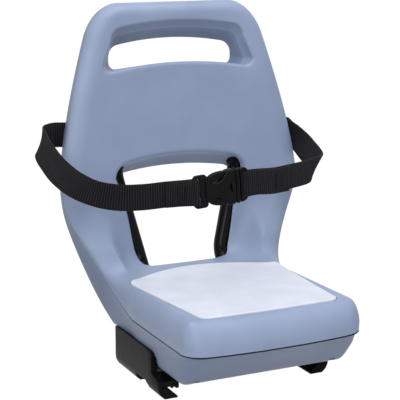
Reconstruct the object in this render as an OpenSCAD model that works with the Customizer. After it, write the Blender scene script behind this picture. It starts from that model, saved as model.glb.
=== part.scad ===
// Child bike seat for a luggage carrier: a moulded two-shell seat with a tall back,
// a pale seat pad, a bent steel tube inside the back, claws for the carrier rails and a lap belt.
// X runs across the seat, Y from front to back, Z up. Z = 0 is the underside of the claws.

/* [Seat] */
// Height of the seat top at its rear
seat_z = 108; // [104:1:114]
// Extra height of the seat top at its front
seat_rise = 2; // [0:1:6]
// Height of the joint between the two shells round the seat
parting_z = 74; // [70:1:78]
// Height of the underside of the lower shell
tray_z = 30; // [28:1:32]
// Width of the seat at its front
seat_front_w = 225; // [216:1:230]
// Width of the seat where the back begins to rise
seat_rear_w = 225; // [220:1:236]
// Distance from the frame origin to where the back begins to rise
seat_l = 140; // [134:1:150]
// Distance from the frame origin forward to the front face
nose_l = 22; // [18:1:26]
// Length over which the seat top rolls down to the front face
nose_roll = 28; // [24:1:32]
// Forward slope length of the lower shell under the front face
chin_l = 44; // [38:1:50]
// Corner radius of the seat in plan
seat_corner = 24; // [20:1:30]
// Bow of the seat's front face in plan
nose_bow = 9; // [0:1:12]
// Length over which that bow fades out
nose_fade = 40; // [30:5:60]

/* [Back] */
// Height of the top of the back
back_top = 431; // [420:1:445]
// Thickness of the back
back_t = 30; // [28:1:32]
// Height of the widest place of the back
waist_z = 217; // [212:1:222]
// Width of the back at its widest place
waist_w = 320.4; // [310:0.2:330]
// Width of the back at the handle
shoulder_w = 239.2; // [230:0.2:250]
// Height at which the handle width is measured
shoulder_z = 390; // [380:1:395]
// Distance from the frame origin to the front of the back at the waist
back_y = 246; // [242:1:250]
// Backward lean of the back, as a slope
back_lean = 0.025; // [0:0.005:0.05]
// Depth of the hollow across the back at the waist
back_dish = 23; // [16:1:26]
// Radius of the turn between seat and back
turn_r = 87; // [83:1:92]
// Width of the upper corners of the back
crown_w = 30; // [24:1:34]
// Height of the upper corners of the back
crown_h = 40; // [32:1:44]
// Rounding of the front edge of the back
back_edge = 22; // [16:1:24]
// Rounding of the side edge of the seat top
seat_edge = 18; // [12:1:20]
// Extra rounding of the front edge in the turn
turn_edge = 10; // [4:1:14]
// Narrowing of the front in the turn
turn_waist = 10; // [6:1:12]
// Flare of the sides towards the rear in the turn
turn_flare = 4; // [2:1:8]

/* [Shells] */
// Wall thickness of both shells
wall = 3; // [2.4:0.2:3.6]
// Step by which the rear shell stands back at the joint
seam_step = 1; // [0.6:0.2:1.4]
// Draft of the sides below the joint
side_draft = 6; // [4:1:8]

/* [Handle] */
// Half width of the handle opening at its top edge
handle_top = 88; // [82:1:92]
// Half width of the handle opening at its bottom edge
handle_bottom = 100; // [92:1:104]
// Height of the bottom corners of the handle opening
handle_low = 349; // [346:1:354]
// Height of the top corners of the handle opening
handle_high = 399; // [392:1:402]
// Rise of the arched edges at the middle
handle_arch = 9; // [4:1:12]
// Drop of the top wall from front to rear
handle_drop = 22; // [14:1:24]
// Half width of the handle opening at the rear
handle_rear = 83; // [76:1:86]
// Rounding of the rim
handle_rim = 4; // [3:0.5:5]

/* [Lower opening] */
// Half width of the opening under the back at its top
gap_top = 87; // [82:1:90]
// Half width of the opening at its bottom
gap_bottom = 63; // [58:1:68]
// Narrowing of each side of the opening from front to rear
gap_taper = 4; // [2:1:6]
// Height of the top corners of the opening
gap_high = 234; // [228:1:238]
// Rise of the arched top edge at the middle
gap_arch = 10; // [6:1:14]
// Drop of the top wall from front to rear
gap_drop = 15; // [8:1:18]
// Angle round the turn at which the opening begins
gap_start = 47; // [44:1:52]
// Rounding of the rim
gap_rim = 6; // [4:0.5:7]

/* [Pad] */
// Distance from the frame origin to the front edge of the pad
pad_front = 3; // [1:1:8]
// Distance from the frame origin to the rear edge at the middle
pad_rear = 213; // [206:1:216]
// Distance from the frame origin to the rear corners
pad_corner_y = 171; // [166:1:180]
// Half width of the pad at its front
pad_front_half = 87; // [80:1:90]
// Half width of the pad at its rear corners
pad_rear_half = 101; // [98:1:106]
// Depth of the pad's recess
pad_recess = 2; // [1.6:0.2:2.6]
// Thickness of the pad
pad_t = 3.2; // [2.8:0.2:4]
// Gap round the pad
pad_gap = 0.5; // [0.4:0.1:0.8]

/* [Tube] */
// Diameter of the bent tube
tube_d = 18; // [16:1:19]
// Wall of the bent tube
tube_wall = 1.5; // [1:0.5:2]
// Bend radius of the tube
tube_bend = 36; // [32:1:40]
// Half spacing of the tube at its upper corners
tube_top_half = 84; // [82:1:86]
// Height of the tube's cross run inside the back
tube_top_z = 300; // [290:1:310]
// Half spacing of the tube in the seat
tube_foot_half = 54; // [52:1:56]
// Distance from the frame origin to the tube's front ends
tube_front_y = 58; // [50:1:70]
// Clearance round the tube where it passes the shells
tube_gap = 1.3; // [1.2:0.1:1.5]

/* [Carrier claws] */
// Distance from the middle plane to the outer face of a claw
claw_x = 111; // [108:1:113]
// Thickness of a claw's plate
claw_t = 5; // [4:0.5:6]
// Distance from the frame origin to the front end of a claw
claw_front = 86; // [80:1:92]
// Distance from the frame origin to the rear end of a claw
claw_rear = 194; // [188:1:200]
// Distance by which the lower part of a claw reaches forward of its plate
claw_toe = 20; // [14:1:24]
// Height of a claw
claw_h = 50; // [46:1:54]
// Distance from the middle plane to the tip of a claw
claw_tip_x = 87; // [84:1:90]
// Height of the tip of a claw
claw_tip_h = 2; // [2:0.5:3]
// Length of the arched gap between the two claws of a side
claw_gap_l = 39; // [30:1:44]
// Distance from the frame origin to the middle of that gap
claw_gap_y = 117; // [112:1:122]
// Height of the toothed face of a jaw
jaw_z = 13.5; // [13:0.5:15]
// Pitch of the jaw ridges
tooth_l = 6; // [5:0.5:7]
// Height of the jaw ridges
tooth_h = 2.5; // [1.5:0.5:3]
// Distance from the middle plane to the inner face of a jaw
jaw_inner_x = 84; // [82:1:86]

/* [Belt] */
// Width of the webbing
web_w = 30; // [25:1:32]
// Thickness of the webbing
web_t = 1.8; // [1.4:0.2:2.2]
// Length of the buckle socket
socket_l = 45; // [42:1:48]
// Height of the buckle
buckle_h = 40; // [38:1:44]
// Thickness of the buckle
buckle_t = 13; // [11:1:15]
// Length of the plug's base
plug_l = 25; // [22:1:28]

/* [Fasteners] */
// Shank diameter of the shell screws
screw_d = 4; // [3.5:0.5:4.5]
// Head diameter of the shell screws
screw_head = 8; // [7:0.5:9]
// Shank diameter of the bolts
bolt_d = 6; // [5:0.5:6]
// Width across flats of the bolt heads and nuts
bolt_flats = 10; // [9:0.5:10]
// Width of the cross straps
strap_w = 28; // [24:1:30]
// Thickness of the cross straps
strap_t = 3; // [2.5:0.5:4]

/* [Hidden] */
eps = 0.04;
turn_y = seat_l;
turn_z = seat_z + turn_r;
turn_len = turn_r * PI / 2;
back_s = seat_l + turn_len;
function lerp(a, b, t) = a + (b - a) * t;
function clamp01(t) = min(1, max(0, t));
function smooth(t) = let (c = clamp01(t)) c * c * (3 - 2 * c);
function round_in(r, d) = d >= r ? 0 : r - sqrt(max(0, r * r - (r - d) * (r - d)));

// Station s along the seat and the back: its origin and the direction in which depth grows
function turn_angle(s) = 90 * clamp01((s - seat_l) / turn_len);
function back_z(s) = turn_z + s - back_s;
function s_of_z(z) = back_s + z - turn_z;
function s_of_y(y) = y < seat_l ? y : seat_l + atan((y - seat_l) / turn_r) * turn_len / 90;
function origin(s) = s < seat_l ? [s, turn_z] : s < back_s ? [turn_y, turn_z] : [turn_y, back_z(s)];
function depth_dir(s) = [sin(turn_angle(s)), -cos(turn_angle(s))];
function bow(x, s) = nose_bow * pow(x * 2 / seat_front_w, 2) * clamp01(1 - (s + nose_l) / nose_fade);
function at(x, s, d) = let (o = origin(s), v = depth_dir(s)) [x, o[0] + d * v[0] + bow(x, s), o[1] + d * v[1]];
// Rounded corner between a depth a at the seat and a depth b at the back
function corner(a, b, s, p) =
    let (t = turn_angle(s)) pow(pow(sin(t) / b, p) + pow(cos(t) / a, p), -1 / p);

// Half width of the outline at station s, set in by k
function back_half(z) = z > waist_z
    ? waist_w / 2 - (waist_w - shoulder_w) / 2 * pow((z - waist_z) / (shoulder_z - waist_z), 1.4)
    : waist_w / 2 - 26.8 * pow((waist_z - z) / 112, 1.79);
function crown_in(z, k) =
    let (d = (back_top - k - z) / (crown_h - k)) d > 1 ? 0 : (crown_w - k) * (1 - sqrt(1 - (1 - d) * (1 - d)));
function seat_half(s) = lerp(seat_front_w, seat_rear_w, clamp01(s / seat_l)) / 2;
function half(s, k = 0) =
    s < seat_l ? seat_half(s) - k - round_in(seat_corner - k, s + nose_l - k)
    : s < back_s ? lerp(seat_half(seat_l), back_half(turn_z), smooth(turn_angle(s) / 90))
        - turn_waist * sin(2 * turn_angle(s)) - k
    : back_half(back_z(s)) - k - crown_in(back_z(s), k);

// Depth of the front skin, of the joint and of the rear skin
function top_z(s, k) =
    let (roll = nose_roll - k, d = clamp01((s + nose_l - k) / roll),
         top = seat_z + seat_rise * clamp01(1 - s / seat_l) - k)
    parting_z + (top - parting_z) * sqrt(1 - (1 - d) * (1 - d));
function bottom_z(s, k) = max(tray_z + k, parting_z + 1.4 * k - (s + nose_l) * (parting_z - tray_z) / chin_l);
function dish(x, s) =
    let (z = back_z(s), d = back_dish * clamp01((back_top - z) / (back_top - waist_z))) d * pow(x / half(s), 2);
function edge_in(z, k) = let (r = back_t / 2 - 1) round_in(r - k, back_top - k - z);
function back_face(x, s) = back_y + (back_z(s) - waist_z) * back_lean - turn_y - dish(x, s);
function front(x, s, k = 0) =
    s < seat_l ? turn_z - top_z(s, k)
    : s < back_s ? corner(turn_r + k, back_face(x, back_s) + k, s, lerp(9, 2, smooth((abs(x) - 50) / 50)))
    : back_face(x, s) + k + edge_in(back_z(s), k);
function rear(x, s, k = 0) =
    s < seat_l ? turn_z - bottom_z(s, k)
    : s < back_s ? corner(turn_z - tray_z - k, back_face(x, back_s) + back_t - k, s, 2.4)
    : back_face(x, s) + back_t - k - edge_in(back_z(s), k);
function joint(s) =
    s < seat_l ? turn_z - parting_z
    : s < back_s ? corner(turn_z - parting_z, back_face(half(s), back_s) + back_t / 2, s, 2)
    : back_face(half(s), s) + back_t / 2;
function edge(s) = lerp(seat_edge, back_edge, smooth(turn_angle(s) / 90)) + turn_edge * pow(sin(2 * turn_angle(s)), 2);
function draft(s) = lerp(side_draft, 1, smooth(turn_angle(s) / 90)) - turn_flare * sin(2 * turn_angle(s));

// Stations: the nose, the seat, the turn and the back
nose_steps = [0.4, 2.5, 7, 14, 21, 28];
seat_steps = [0, 0.25, 0.5, 0.75, 1];
turn_steps = [1, 2, 3, 4, 5, 6, 7, 8];
back_steps = [0.1, 0.22, 0.34, 0.46, 0.58, 0.7, 0.8];
crown_steps = [0.9, 0.5, 0.25, 0.08, 0.01];
// Inner skins (k > 0) take every other step
function some(steps, k) = k > 0 ? [for (i = [(len(steps) - 1) % 2 : 2 : len(steps) - 1]) steps[i]] : steps;
function stations(k) = concat(
    [for (d = some(nose_steps, k)) d - nose_l + k],
    [for (t = some(seat_steps, k)) lerp(chin_l - nose_l, seat_l, t)],
    [for (i = turn_steps) seat_l + turn_len * i / last_of(turn_steps)],
    [for (t = some(back_steps, k)) lerp(back_s, s_of_z(back_top - crown_h), t)],
    [for (t = crown_steps) s_of_z(back_top - k - t * (crown_h - k))]);
across = [0, 0.22, 0.36, 0.46, 0.56, 0.68, 0.84, 1];
across_in = [0, 0.42, 0.72, 1];
arc_steps = [15, 38, 62, 90];
joint_steps = [0, 0.5, 0.92];
rear_round = 10;

// Outlines of a station from the middle plane to the joint, and the joint from the middle plane out
function front_half(s, k) =
    let (w = half(s, k), r = min(edge(s) - k, w * 0.6), d = front(w - r, s, k), j = joint(s))
    concat([for (t = k > 0 ? across_in : across) [t * (w - r), front(t * (w - r), s, k)]],
           [for (a = some(arc_steps, k)) [w - r + r * sin(a), j - (j - d) * cos(a)]]);
function rear_half(s, k) =
    let (w = half(s, k) - seam_step, j = joint(s), b = rear(w, s, k),
         r = min(rear_round, 0.8 * (b - j)), q = w - draft(s) - rear_round, e = rear(q, s, k))
    concat([for (t = k > 0 ? across_in : across) [t * q, rear(t * q, s, k)]],
           [for (a = some(arc_steps, k)) [q + rear_round * sin(a), e - r + r * cos(a)]],
           [[w, j]]);
function joint_half(s, w, shift) =
    let (d = front(w - edge(s), s)) [for (t = joint_steps) [t * w, joint(s) + front(t * (w - edge(s)), s) - d + shift]];
function mirrored(h) = concat([for (i = [len(h) - 1 : -1 : 1]) [-h[i][0], h[i][1]]], h);
function reversed(h) = [for (i = [len(h) - 1 : -1 : 0]) h[i]];
function placed(loop, s) = [for (p = loop) at(p[0], s, p[1])];
function last_of(h) = h[len(h) - 1];

// Solid through rows of points, closed at both ends by a fan round the middle
module loft(rows, other = false) {
    n = len(rows[0]);
    m = len(rows);
    function mid(r) = [for (k = [0 : 2]) [for (p = r) p[k]] * [for (p = r) 1] / n];
    points = concat([for (r = rows) each r], [mid(rows[0]), mid(rows[m - 1])]);
    sides = [for (j = [0 : m - 2], i = [0 : n - 1])
        let (a = j * n + i, b = j * n + (i + 1) % n)
            each other ? [[a, b, a + n], [b, b + n, a + n]] : [[a, b, b + n], [a, b + n, a + n]]];
    first = [for (i = [0 : n - 1]) [(i + 1) % n, i, m * n]];
    last = [for (i = [0 : n - 1]) [(m - 1) * n + i, (m - 1) * n + (i + 1) % n, m * n + 1]];
    polyhedron(points, concat(sides, first, last), convexity = 8);
}

// Halves of the housing, set in by k, and reaching past the joint by over
module front_body(k = 0, over = 0) {
    loft([for (s = stations(k)) let (h = front_half(s, k), w = half(s, k) - seam_step)
        placed(reversed(concat(mirrored(h), reversed(mirrored(concat(joint_half(s, w, over - eps),
            [[w, joint(s) + over - eps]]))))), s)], true);
}
module rear_body(k = 0, over = 0) {
    loft([for (s = stations(k)) let (h = rear_half(s, k), w = last_of(h)[0])
        placed(concat(mirrored(h), reversed(mirrored(joint_half(s, w, eps - over)))), s)]);
}

// Openings through the back: outline at depth share t, grown by g
function opening_corner(cx, cs, r, a0) = [for (a = [0, 30, 60, 90]) [cx + r * cos(a0 + a), cs + r * sin(a0 + a)]];
function opening(bottom, top, low, high, r0, r1, arch0, arch1, g) =
    let (c = concat(opening_corner(-bottom + r0, low + r0, r0 + g, 180),
                    [for (x = [-0.5, 0, 0.5]) [x * bottom, low - g]],
                    opening_corner(bottom - r0, low + r0, r0 + g, 270),
                    opening_corner(top - r1, high - r1, r1 + g, 0),
                    [for (x = [0.5, 0, -0.5]) [x * top, high + g]],
                    opening_corner(-top + r1, high - r1, r1 + g, 90)))
    [for (p = c) [p[0], p[1] + (p[1] < (low + high) / 2 ? arch0 * (1 - pow(p[0] / bottom, 2))
                                                        : arch1 * (1 - pow(p[0] / top, 2)))]];
function handle_outline(t, g) = opening(lerp(handle_bottom, handle_rear, t), lerp(handle_top, handle_rear, t),
    s_of_z(handle_low), s_of_z(handle_high - t * handle_drop), 10, 12, handle_arch * (1 - t / 2), handle_arch, g);
function gap_outline(t, g) = opening(gap_bottom - t * gap_taper, gap_top - t * gap_taper,
    seat_l + turn_len * gap_start / 90, s_of_z(gap_high - t * gap_drop), 20, 14, 0, gap_arch * (1 - t / 4), g);
rim_steps = [0, 30, 60, 90];
function through(outline, rim, extra, far) = concat(
    [[for (p = outline(0, rim + extra + 2)) at(p[0], p[1], front(p[0], p[1]) - 12)]],
    [for (a = rim_steps) [for (p = outline(0, rim * (1 - sin(a)) + extra))
        at(p[0], p[1], front(p[0], p[1]) + rim * (1 - cos(a)))]],
    [for (a = [90, 45, 0]) [for (p = outline(1, rim * (1 - sin(a)) / 2 + extra))
        at(p[0], p[1], rear(p[0], p[1]) - rim * (1 - cos(a)) / 2)]],
    [[for (p = outline(1, rim / 2 + extra + 1)) at(p[0], p[1], rear(p[0], p[1]) + far)]]);
module handle_hole(extra = 0) {
    loft(through(function (t, g) handle_outline(t, g), handle_rim, extra, 12));
}
module gap_hole(extra = 0) {
    loft(through(function (t, g) gap_outline(t, g), gap_rim, extra, 30));
}

// Half width of the seat pad at a distance y, grown by g, and the block over it between two depths
pad_round = 12;
pad_power = 20;
pad_across = [-1, -0.86, -0.72, -0.56, -0.36, 0, 0.36, 0.56, 0.72, 0.86, 1];
pad_steps = [0, 1, 4, pad_round];
pad_tail = [0.3, 3, 7, 12, 17, 22, 26, 30, 34, 39, 46, 56];
function pad_half(y, g) =
    let (f = pad_front + pad_round, side = lerp(pad_front_half, pad_rear_half, (y - f) / (pad_corner_y - f)) + g,
         nose = pad_front_half - pad_round + sqrt(max(0, pow(pad_round + g, 2) - pow(f - y, 2))),
         tail = (pad_rear_half + g) * sqrt(max(0, (pad_rear + g - y) / (pad_rear - pad_corner_y))))
    pow(pow(y < f ? nose : side, -pad_power) + pow(tail, -pad_power), -1 / pad_power);
function skin(x, s) =
    let (w = half(s), r = edge(s), d = front(min(abs(x), w - r), s), a = asin(max(0, min(1, (abs(x) - w + r) / r))))
    joint(s) - (joint(s) - d) * cos(a);
module pad_block(g, d0, d1) {
    ys = concat([for (d = pad_steps) pad_front - g + d * (1 + g / pad_round)],
        [seat_l / 2, seat_l], [for (d = reversed(pad_tail)) pad_rear + g - d]);
    loft([for (y = ys) let (s = s_of_y(y), w = pad_half(y, g)) concat(
        [for (t = pad_across) at(t * w, s, skin(t * w, s) + d1)],
        [for (t = reversed(pad_across)) at(t * w, s, skin(t * w, s) + d0)])]);
}

// Places: how far each piece lies from the skins and from its neighbours
fit = 0.2;
claw_mid = (claw_front + claw_rear) / 2;
web_z = tray_z - strap_t;
web_t2 = 6;
jaw_top = web_z - web_t2;
claw_bolt_x = 96;
bolt_ys = [claw_front + 12, claw_rear - 26];
tube_r = tube_d / 2;
tube_z = tray_z + wall + tube_r;
tube_run = [[tube_foot_half, tube_front_y, tube_z], [tube_foot_half, seat_l + 52, tube_z],
    [tube_foot_half + 2, seat_l + 107, tray_z + 87], [tube_top_half - 1.5, back_y + 9, waist_z + 2],
    [tube_top_half, back_y + 12, tube_top_z]];
tube_path = concat([for (p = tube_run) [-p[0], p[1], p[2]]], reversed(tube_run));
// Space for the claws under the sides of the lower shell
notch_x = jaw_inner_x - 2;
notch_y = claw_front - 8;
notch_z = claw_h + 1;
notch_round = 10;
// Shell screws: half spacing and station, through the back and through the lower shell
screws = [[60, s_of_z(back_top - 12)], [waist_w * 0.4, s_of_z(tube_top_z)], [waist_w * 0.38, s_of_z(waist_z - 18)],
    [seat_front_w / 2 - 26, 20], [tube_foot_half + 18, seat_l - 14]];
screw_l = 15.5;
screw_head_t = 3;
boss_wall = 2.5;
function seam_at(x, s) = joint(s) + front(x, s) - front(half(s) - edge(s), s);
function head_at(x, s) = seam_at(x, s) + 8;

// Cylinder along the depth at a station, between two depths, and the places of the shell screws
module along(x, s, d0, d1, r, sides = 16) {
    translate(at(x, s, d0)) rotate([180 + turn_angle(s), 0, 0]) cylinder(r = r, h = d1 - d0, $fn = sides);
}
module each_screw() {
    for (p = screws, side = [-1, 1]) {
        $x = side * p[0];
        $s = p[1];
        $seat = head_at($x, $s);
        children();
    }
}

// Round rod along a path with rounded bends, as rings of points
function unit(v) = v / norm(v);
function turn_of(u, v) = acos(max(-1, min(1, u * v)));
function elbow(a, b, c, r) =
    let (u = unit(b - a), v = unit(c - b), f = turn_of(u, v), m = unit(v - (u * v) * u), n = ceil(f / 18),
         o = b - u * r * tan(f / 2))
    [for (i = [0 : n]) let (q = f * i / n) [o + m * r * (1 - cos(q)) + u * r * sin(q), u * cos(q) + m * sin(q)]];
function way_points(path, bend, more) =
    let (n = len(path), u = unit(path[1] - path[0]), v = unit(path[n - 1] - path[n - 2]))
    concat([[path[0] - u * more, u]], [for (i = [1 : n - 2]) each elbow(path[i - 1], path[i], path[i + 1], bend)],
           [[path[n - 1] + v * more, v]]);
function carried(u, ways, i = 0) = i >= len(ways) ? []
    : let (t = ways[i][1], v = unit(u - (u * t) * t)) concat([v], carried(v, ways, i + 1));
module bent_rod(path, bend, r, sides, more = 0) {
    ways = way_points(path, bend, more);
    ups = carried([0, 0, 1], ways);
    loft([for (i = [0 : len(ways) - 1]) let (u = ups[i], v = cross(u, ways[i][1]))
        [for (k = [0 : sides - 1]) ways[i][0] + r * (u * cos(360 * k / sides) + v * sin(360 * k / sides))]]);
}

// Cutters and inner features of the two shells
module claw_notch(g = 0) {
    r = notch_round;
    y0 = notch_y - g;
    z1 = notch_z + g;
    corner = [for (a = [0, 30, 60, 90]) [y0 + r - r * cos(a), z1 - r + r * sin(a)]];
    for (side = [-1, 1]) translate([side * (notch_x - g + 50), 0, 0]) rotate([90, 0, 90])
        linear_extrude(100, center = true)
            polygon(concat([[y0, -10]], corner, [[claw_rear + 100, z1], [claw_rear + 100, -10]]));
}
module rib(a, b, low, high) {
    hull() for (p = [a, b]) translate([p[0], p[1], low]) cylinder(d = 2, h = high - low, $fn = 4);
}
module seat_ribs(low, high) {
    for (y = [24, 54, 84, 112]) rib([-90, y], [90, y], low, high);
    for (x = [-72, -24, 24, 72]) rib([x, 0], [x, seat_l - 10], low, high);
}
module tube_channel() {
    bent_rod(tube_path, tube_bend, tube_r + tube_gap, 12, 1);
}

// Two moulded shells
module front_shell() color("#8c9cb9") difference() {
    front_body();
    difference() {
        front_body(wall, 5);
        handle_hole(wall);
        gap_hole(wall);
        pad_block(wall, -30, wall + pad_recess);
        each_screw() along($x, $s, 0, $seat, screw_d / 2 + boss_wall, 6);
        intersection() {
            front_body(wall / 2);
            seat_ribs(parting_z + 6, seat_z + 2);
        }
    }
    handle_hole();
    gap_hole();
    pad_block(pad_gap, -30, pad_recess + 0.25);
    tube_channel();
    each_screw() along($x, $s, $seat - screw_l - fit, $seat, screw_d / 2 + 0.05, 8);
}
module rear_shell() color("#8796b2") difference() {
    rear_body();
    difference() {
        rear_body(wall, 5);
        handle_hole(wall);
        gap_hole(wall);
        claw_notch(wall);
        each_screw() along($x, $s, $seat - 20, 300, screw_head / 2 + boss_wall, 6);
        for (x = keeper_screw_x) keeper_bore(x, -12, 5.5);
        intersection() {
            rear_body(wall / 2);
            seat_ribs(tray_z + 1, tube_z + 2);
        }
    }
    handle_hole();
    gap_hole();
    claw_notch();
    tube_channel();
    each_screw() along($x, $s, 0, 300, screw_d / 2 + fit, 8);
    each_screw() along($x, $s, $seat, 300, screw_head / 2 + fit, 12);
    for (x = keeper_screw_x) keeper_bore(x, -keeper_screw_l - fit, screw_d / 2 + 0.05, 12);
    for (y = bolt_ys, side = [-1, 1]) translate([side * tube_foot_half, y, 0])
        cylinder(d = bolt_d + 3 * fit, h = tube_z, $fn = 12);
}
module seat_pad() color("#d8dce4") pad_block(0, pad_recess - pad_t, pad_recess - 0.1);

// Bent tube, cross straps and their bolts
module frame_tube() color("#26272a") difference() {
    bent_rod(tube_path, tube_bend, tube_r, 20);
    bent_rod(tube_path, tube_bend, tube_r - tube_wall, 8, 1);
    for (y = bolt_ys, side = [-1, 1]) translate([side * tube_foot_half, y, tray_z])
        cylinder(d = bolt_d + 2 * fit, h = 2 * tube_d, $fn = 20);
}
module cross_strap(y) color("#2c2d30") difference() {
    translate([0, y, web_z + strap_t / 2]) cube([2 * (claw_x - claw_t - 2), strap_w, strap_t], center = true);
    for (x = [-claw_bolt_x, -tube_foot_half, tube_foot_half, claw_bolt_x])
        translate([x, y, 0]) cylinder(d = bolt_d + 2 * fit, h = tray_z + 1, $fn = 20);
}
module front_cross_strap() cross_strap(bolt_ys[0]);
module rear_cross_strap() cross_strap(bolt_ys[1]);
module each_bolt(x) {
    for (y = bolt_ys, side = [-1, 1]) translate([side * x, y, 0]) children();
}
module hex_head(z, h) translate([0, 0, z]) cylinder(d = bolt_flats / cos(30), h = h, $fn = 6);
module shank(low, high) translate([0, 0, low]) cylinder(d = bolt_d, h = high - low, $fn = 20);
module nut(z) difference() {
    hex_head(z, 5);
    translate([0, 0, z - 1]) cylinder(d = bolt_d + 0.1, h = 7, $fn = 20);
}
module clamp_bolts() color("#8a8c90") each_bolt(claw_bolt_x) {
    hex_head(tray_z, 4);
    shank(jaw_z + 1, tray_z + 0.1);
}
module clamp_nuts() color("#8a8c90") each_bolt(claw_bolt_x) nut(jaw_top - 5);
module tube_bolts() color("#8a8c90") each_bolt(tube_foot_half) {
    hex_head(web_z - 4, 4);
    shank(web_z - 0.1, tube_z + tube_r + 7);
}
module tube_nuts() color("#8a8c90") each_bolt(tube_foot_half) nut(tube_z + tube_r);

// Carrier claws: a side plate that curves under the rail, a web under the straps and a toothed jaw
claw_section = [[claw_tip_x, 0], [claw_x - 8, 0], [claw_x - 3, 4.5], [claw_x - 0.5, 10], [claw_x, 15],
    [claw_x, claw_h], [claw_x - claw_t, claw_h], [claw_x - claw_t, web_z], [jaw_inner_x, web_z], [jaw_inner_x, jaw_top],
    [claw_x - claw_t, jaw_top], [claw_x - claw_t, jaw_z], [claw_x - claw_t - 8, jaw_z - 1], [claw_tip_x, claw_tip_h]];
claw_side = [[claw_front - claw_toe, 0], [claw_gap_y - claw_gap_l / 2, 0], [claw_gap_y - claw_gap_l * 0.44, 8],
    [claw_gap_y - claw_gap_l / 3, 12], [claw_gap_y + claw_gap_l / 3, 12], [claw_gap_y + claw_gap_l * 0.44, 8],
    [claw_gap_y + claw_gap_l / 2, 0], [claw_rear - 8, 0], [claw_rear, 6], [claw_rear, claw_h],
    [claw_front + 2, claw_h], [claw_front, claw_h - 3], [claw_front, web_z - 1], [claw_front - claw_toe, web_z - 6]];
module claw() color("#1d1e20") difference() {
    intersection() {
        translate([0, claw_rear, 0]) rotate([90, 0, 0]) linear_extrude(claw_rear) polygon(claw_section);
        translate([jaw_inner_x - 1, 0, 0]) rotate([90, 0, 90]) linear_extrude(40) polygon(claw_side);
    }
    for (y = bolt_ys) translate([claw_bolt_x, y, jaw_top - 1]) cylinder(d = bolt_d + 2 * fit, h = 10, $fn = 20);
}
module claw_right() claw();
module claw_left() mirror([1, 0, 0]) claw();
jaw_front = claw_front - claw_toe + 1;
jaw_x = jaw_inner_x + 1;
jaw_outer_x = claw_x - claw_t - fit;
jaw_section = [[jaw_x, jaw_top - fit], [jaw_x, jaw_z - tooth_h], [jaw_x + tooth_l * 0.6, jaw_z - tooth_h],
    [jaw_x + tooth_l, jaw_z], [jaw_x + tooth_l * 1.3, jaw_z - tooth_h + 0.5], [jaw_x + tooth_l * 1.5, jaw_z - tooth_h + 0.5],
    [jaw_x + tooth_l * 1.9, jaw_z + 0.3], [jaw_outer_x, jaw_z + 0.3], [jaw_outer_x, jaw_top - fit]];
module jaw() color("#34363a") difference() {
    translate([0, claw_rear - 14, 0]) rotate([90, 0, 0]) linear_extrude(claw_rear - 14 - jaw_front) polygon(jaw_section);
    for (y = bolt_ys) translate([claw_bolt_x, y, 0]) {
        translate([0, 0, jaw_z - 1]) cylinder(d = bolt_d + 2 * fit, h = 10, $fn = 20);
        translate([0, 0, jaw_top - 5 - 0.1]) cylinder(d = (bolt_flats + 2 * fit) / cos(30), h = 10, $fn = 6);
    }
}
module jaw_right() jaw();
module jaw_left() mirror([1, 0, 0]) jaw();

// Screws that hold the shells together
module shell_screws() color("#8a8c90") each_screw() {
    along($x, $s, $seat - screw_l, $seat + 0.1, screw_d / 2, 8);
    along($x, $s, $seat, $seat + screw_head_t, screw_head / 2, 12);
}

// Lap belt: two straps that run from the buckle round the sides of the back to plates behind it
belt_y = 96;
socket_x = -52;
plug_x = socket_x + socket_l - 2;
buckle_end = plug_x + plug_l;
buckle_mid_z = 232;
buckle_tilt = 4.4;
bar_w = 3;
bar_t = 4;
slot_w = 6;
bar_gap = 3.2;
keeper_z = 268;
keeper_x = 45;
keeper_t = 2;
keeper_l = 20;
keeper_screw_x = [-keeper_x - 5, -keeper_x + 5, keeper_x - 5, keeper_x + 5];
keeper_screw_l = 8;
function skin_point(x, z, out) = at(x, s_of_z(z), rear(x, s_of_z(z)) + out);
module keeper_bore(x, low, r, sides = 12) {
    s = s_of_z(keeper_z);
    d = rear(x, s);
    along(x, s, d + low, d + 6, r, sides);
}
belt_left = [[-84, 97.2, 229.8], [-62, 97.2, 229], [-54, 99.4, 228.4], [-50.5, 99.9, 228.2], [-47.2, 99, 228],
    [-46.4, 96, 228], [-47.4, 93.2, 228], [-50.5, 92.6, 228.2], [-54, 93.4, 228.5], [-62, 95, 229.2], [-85, 95, 230],
    [-115, 97, 231], [-138, 104, 231.5], [-160, 116, 235], [-178, 135, 241], [-190, 160, 248], [-195, 190, 255],
    [-193, 215, 259.5], [-185, 238, 264], [-172, 256, 267], [-158, 265, 268]];
belt_right = [[50, 101.8, 233], [27, 98.4, 234.4], [18, 99.1, 233.6], [14.5, 99.4, 233.2], [11.4, 98.8, 233],
    [10.4, 96, 233], [11.4, 93.2, 233], [14.5, 92.6, 233.2], [18, 93.6, 233.6], [27, 96.2, 234.2], [50, 99.6, 233],
    [80, 107, 234], [108, 120, 234], [133, 138, 234], [153, 160, 234], [166, 184, 236], [172, 210, 241],
    [172, 232, 248], [167, 250, 256], [157, 264, 263]];
function belt_tail(side) = [for (x = [142, 120, 95, 70, keeper_x + keeper_l / 2, keeper_x - keeper_l / 2])
    skin_point(side * x, keeper_z, web_t / 2 + 0.4)];
function lean_at(p) = -0.45 * smooth((-p[0] - 60) / 60) * (1 - smooth((p[1] - 190) / 60));
function skin_slope(p) = let (s = s_of_z(keeper_z), x = min(abs(p[0]), waist_w / 2 - 14))
    (rear(x, s + 1) - rear(x, s)) * smooth((p[1] - 225) / 30);
function buckle_lean(p) = -tan(buckle_tilt) * (1 - smooth((abs(p[0] + 18) - 36) / 20));
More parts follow.
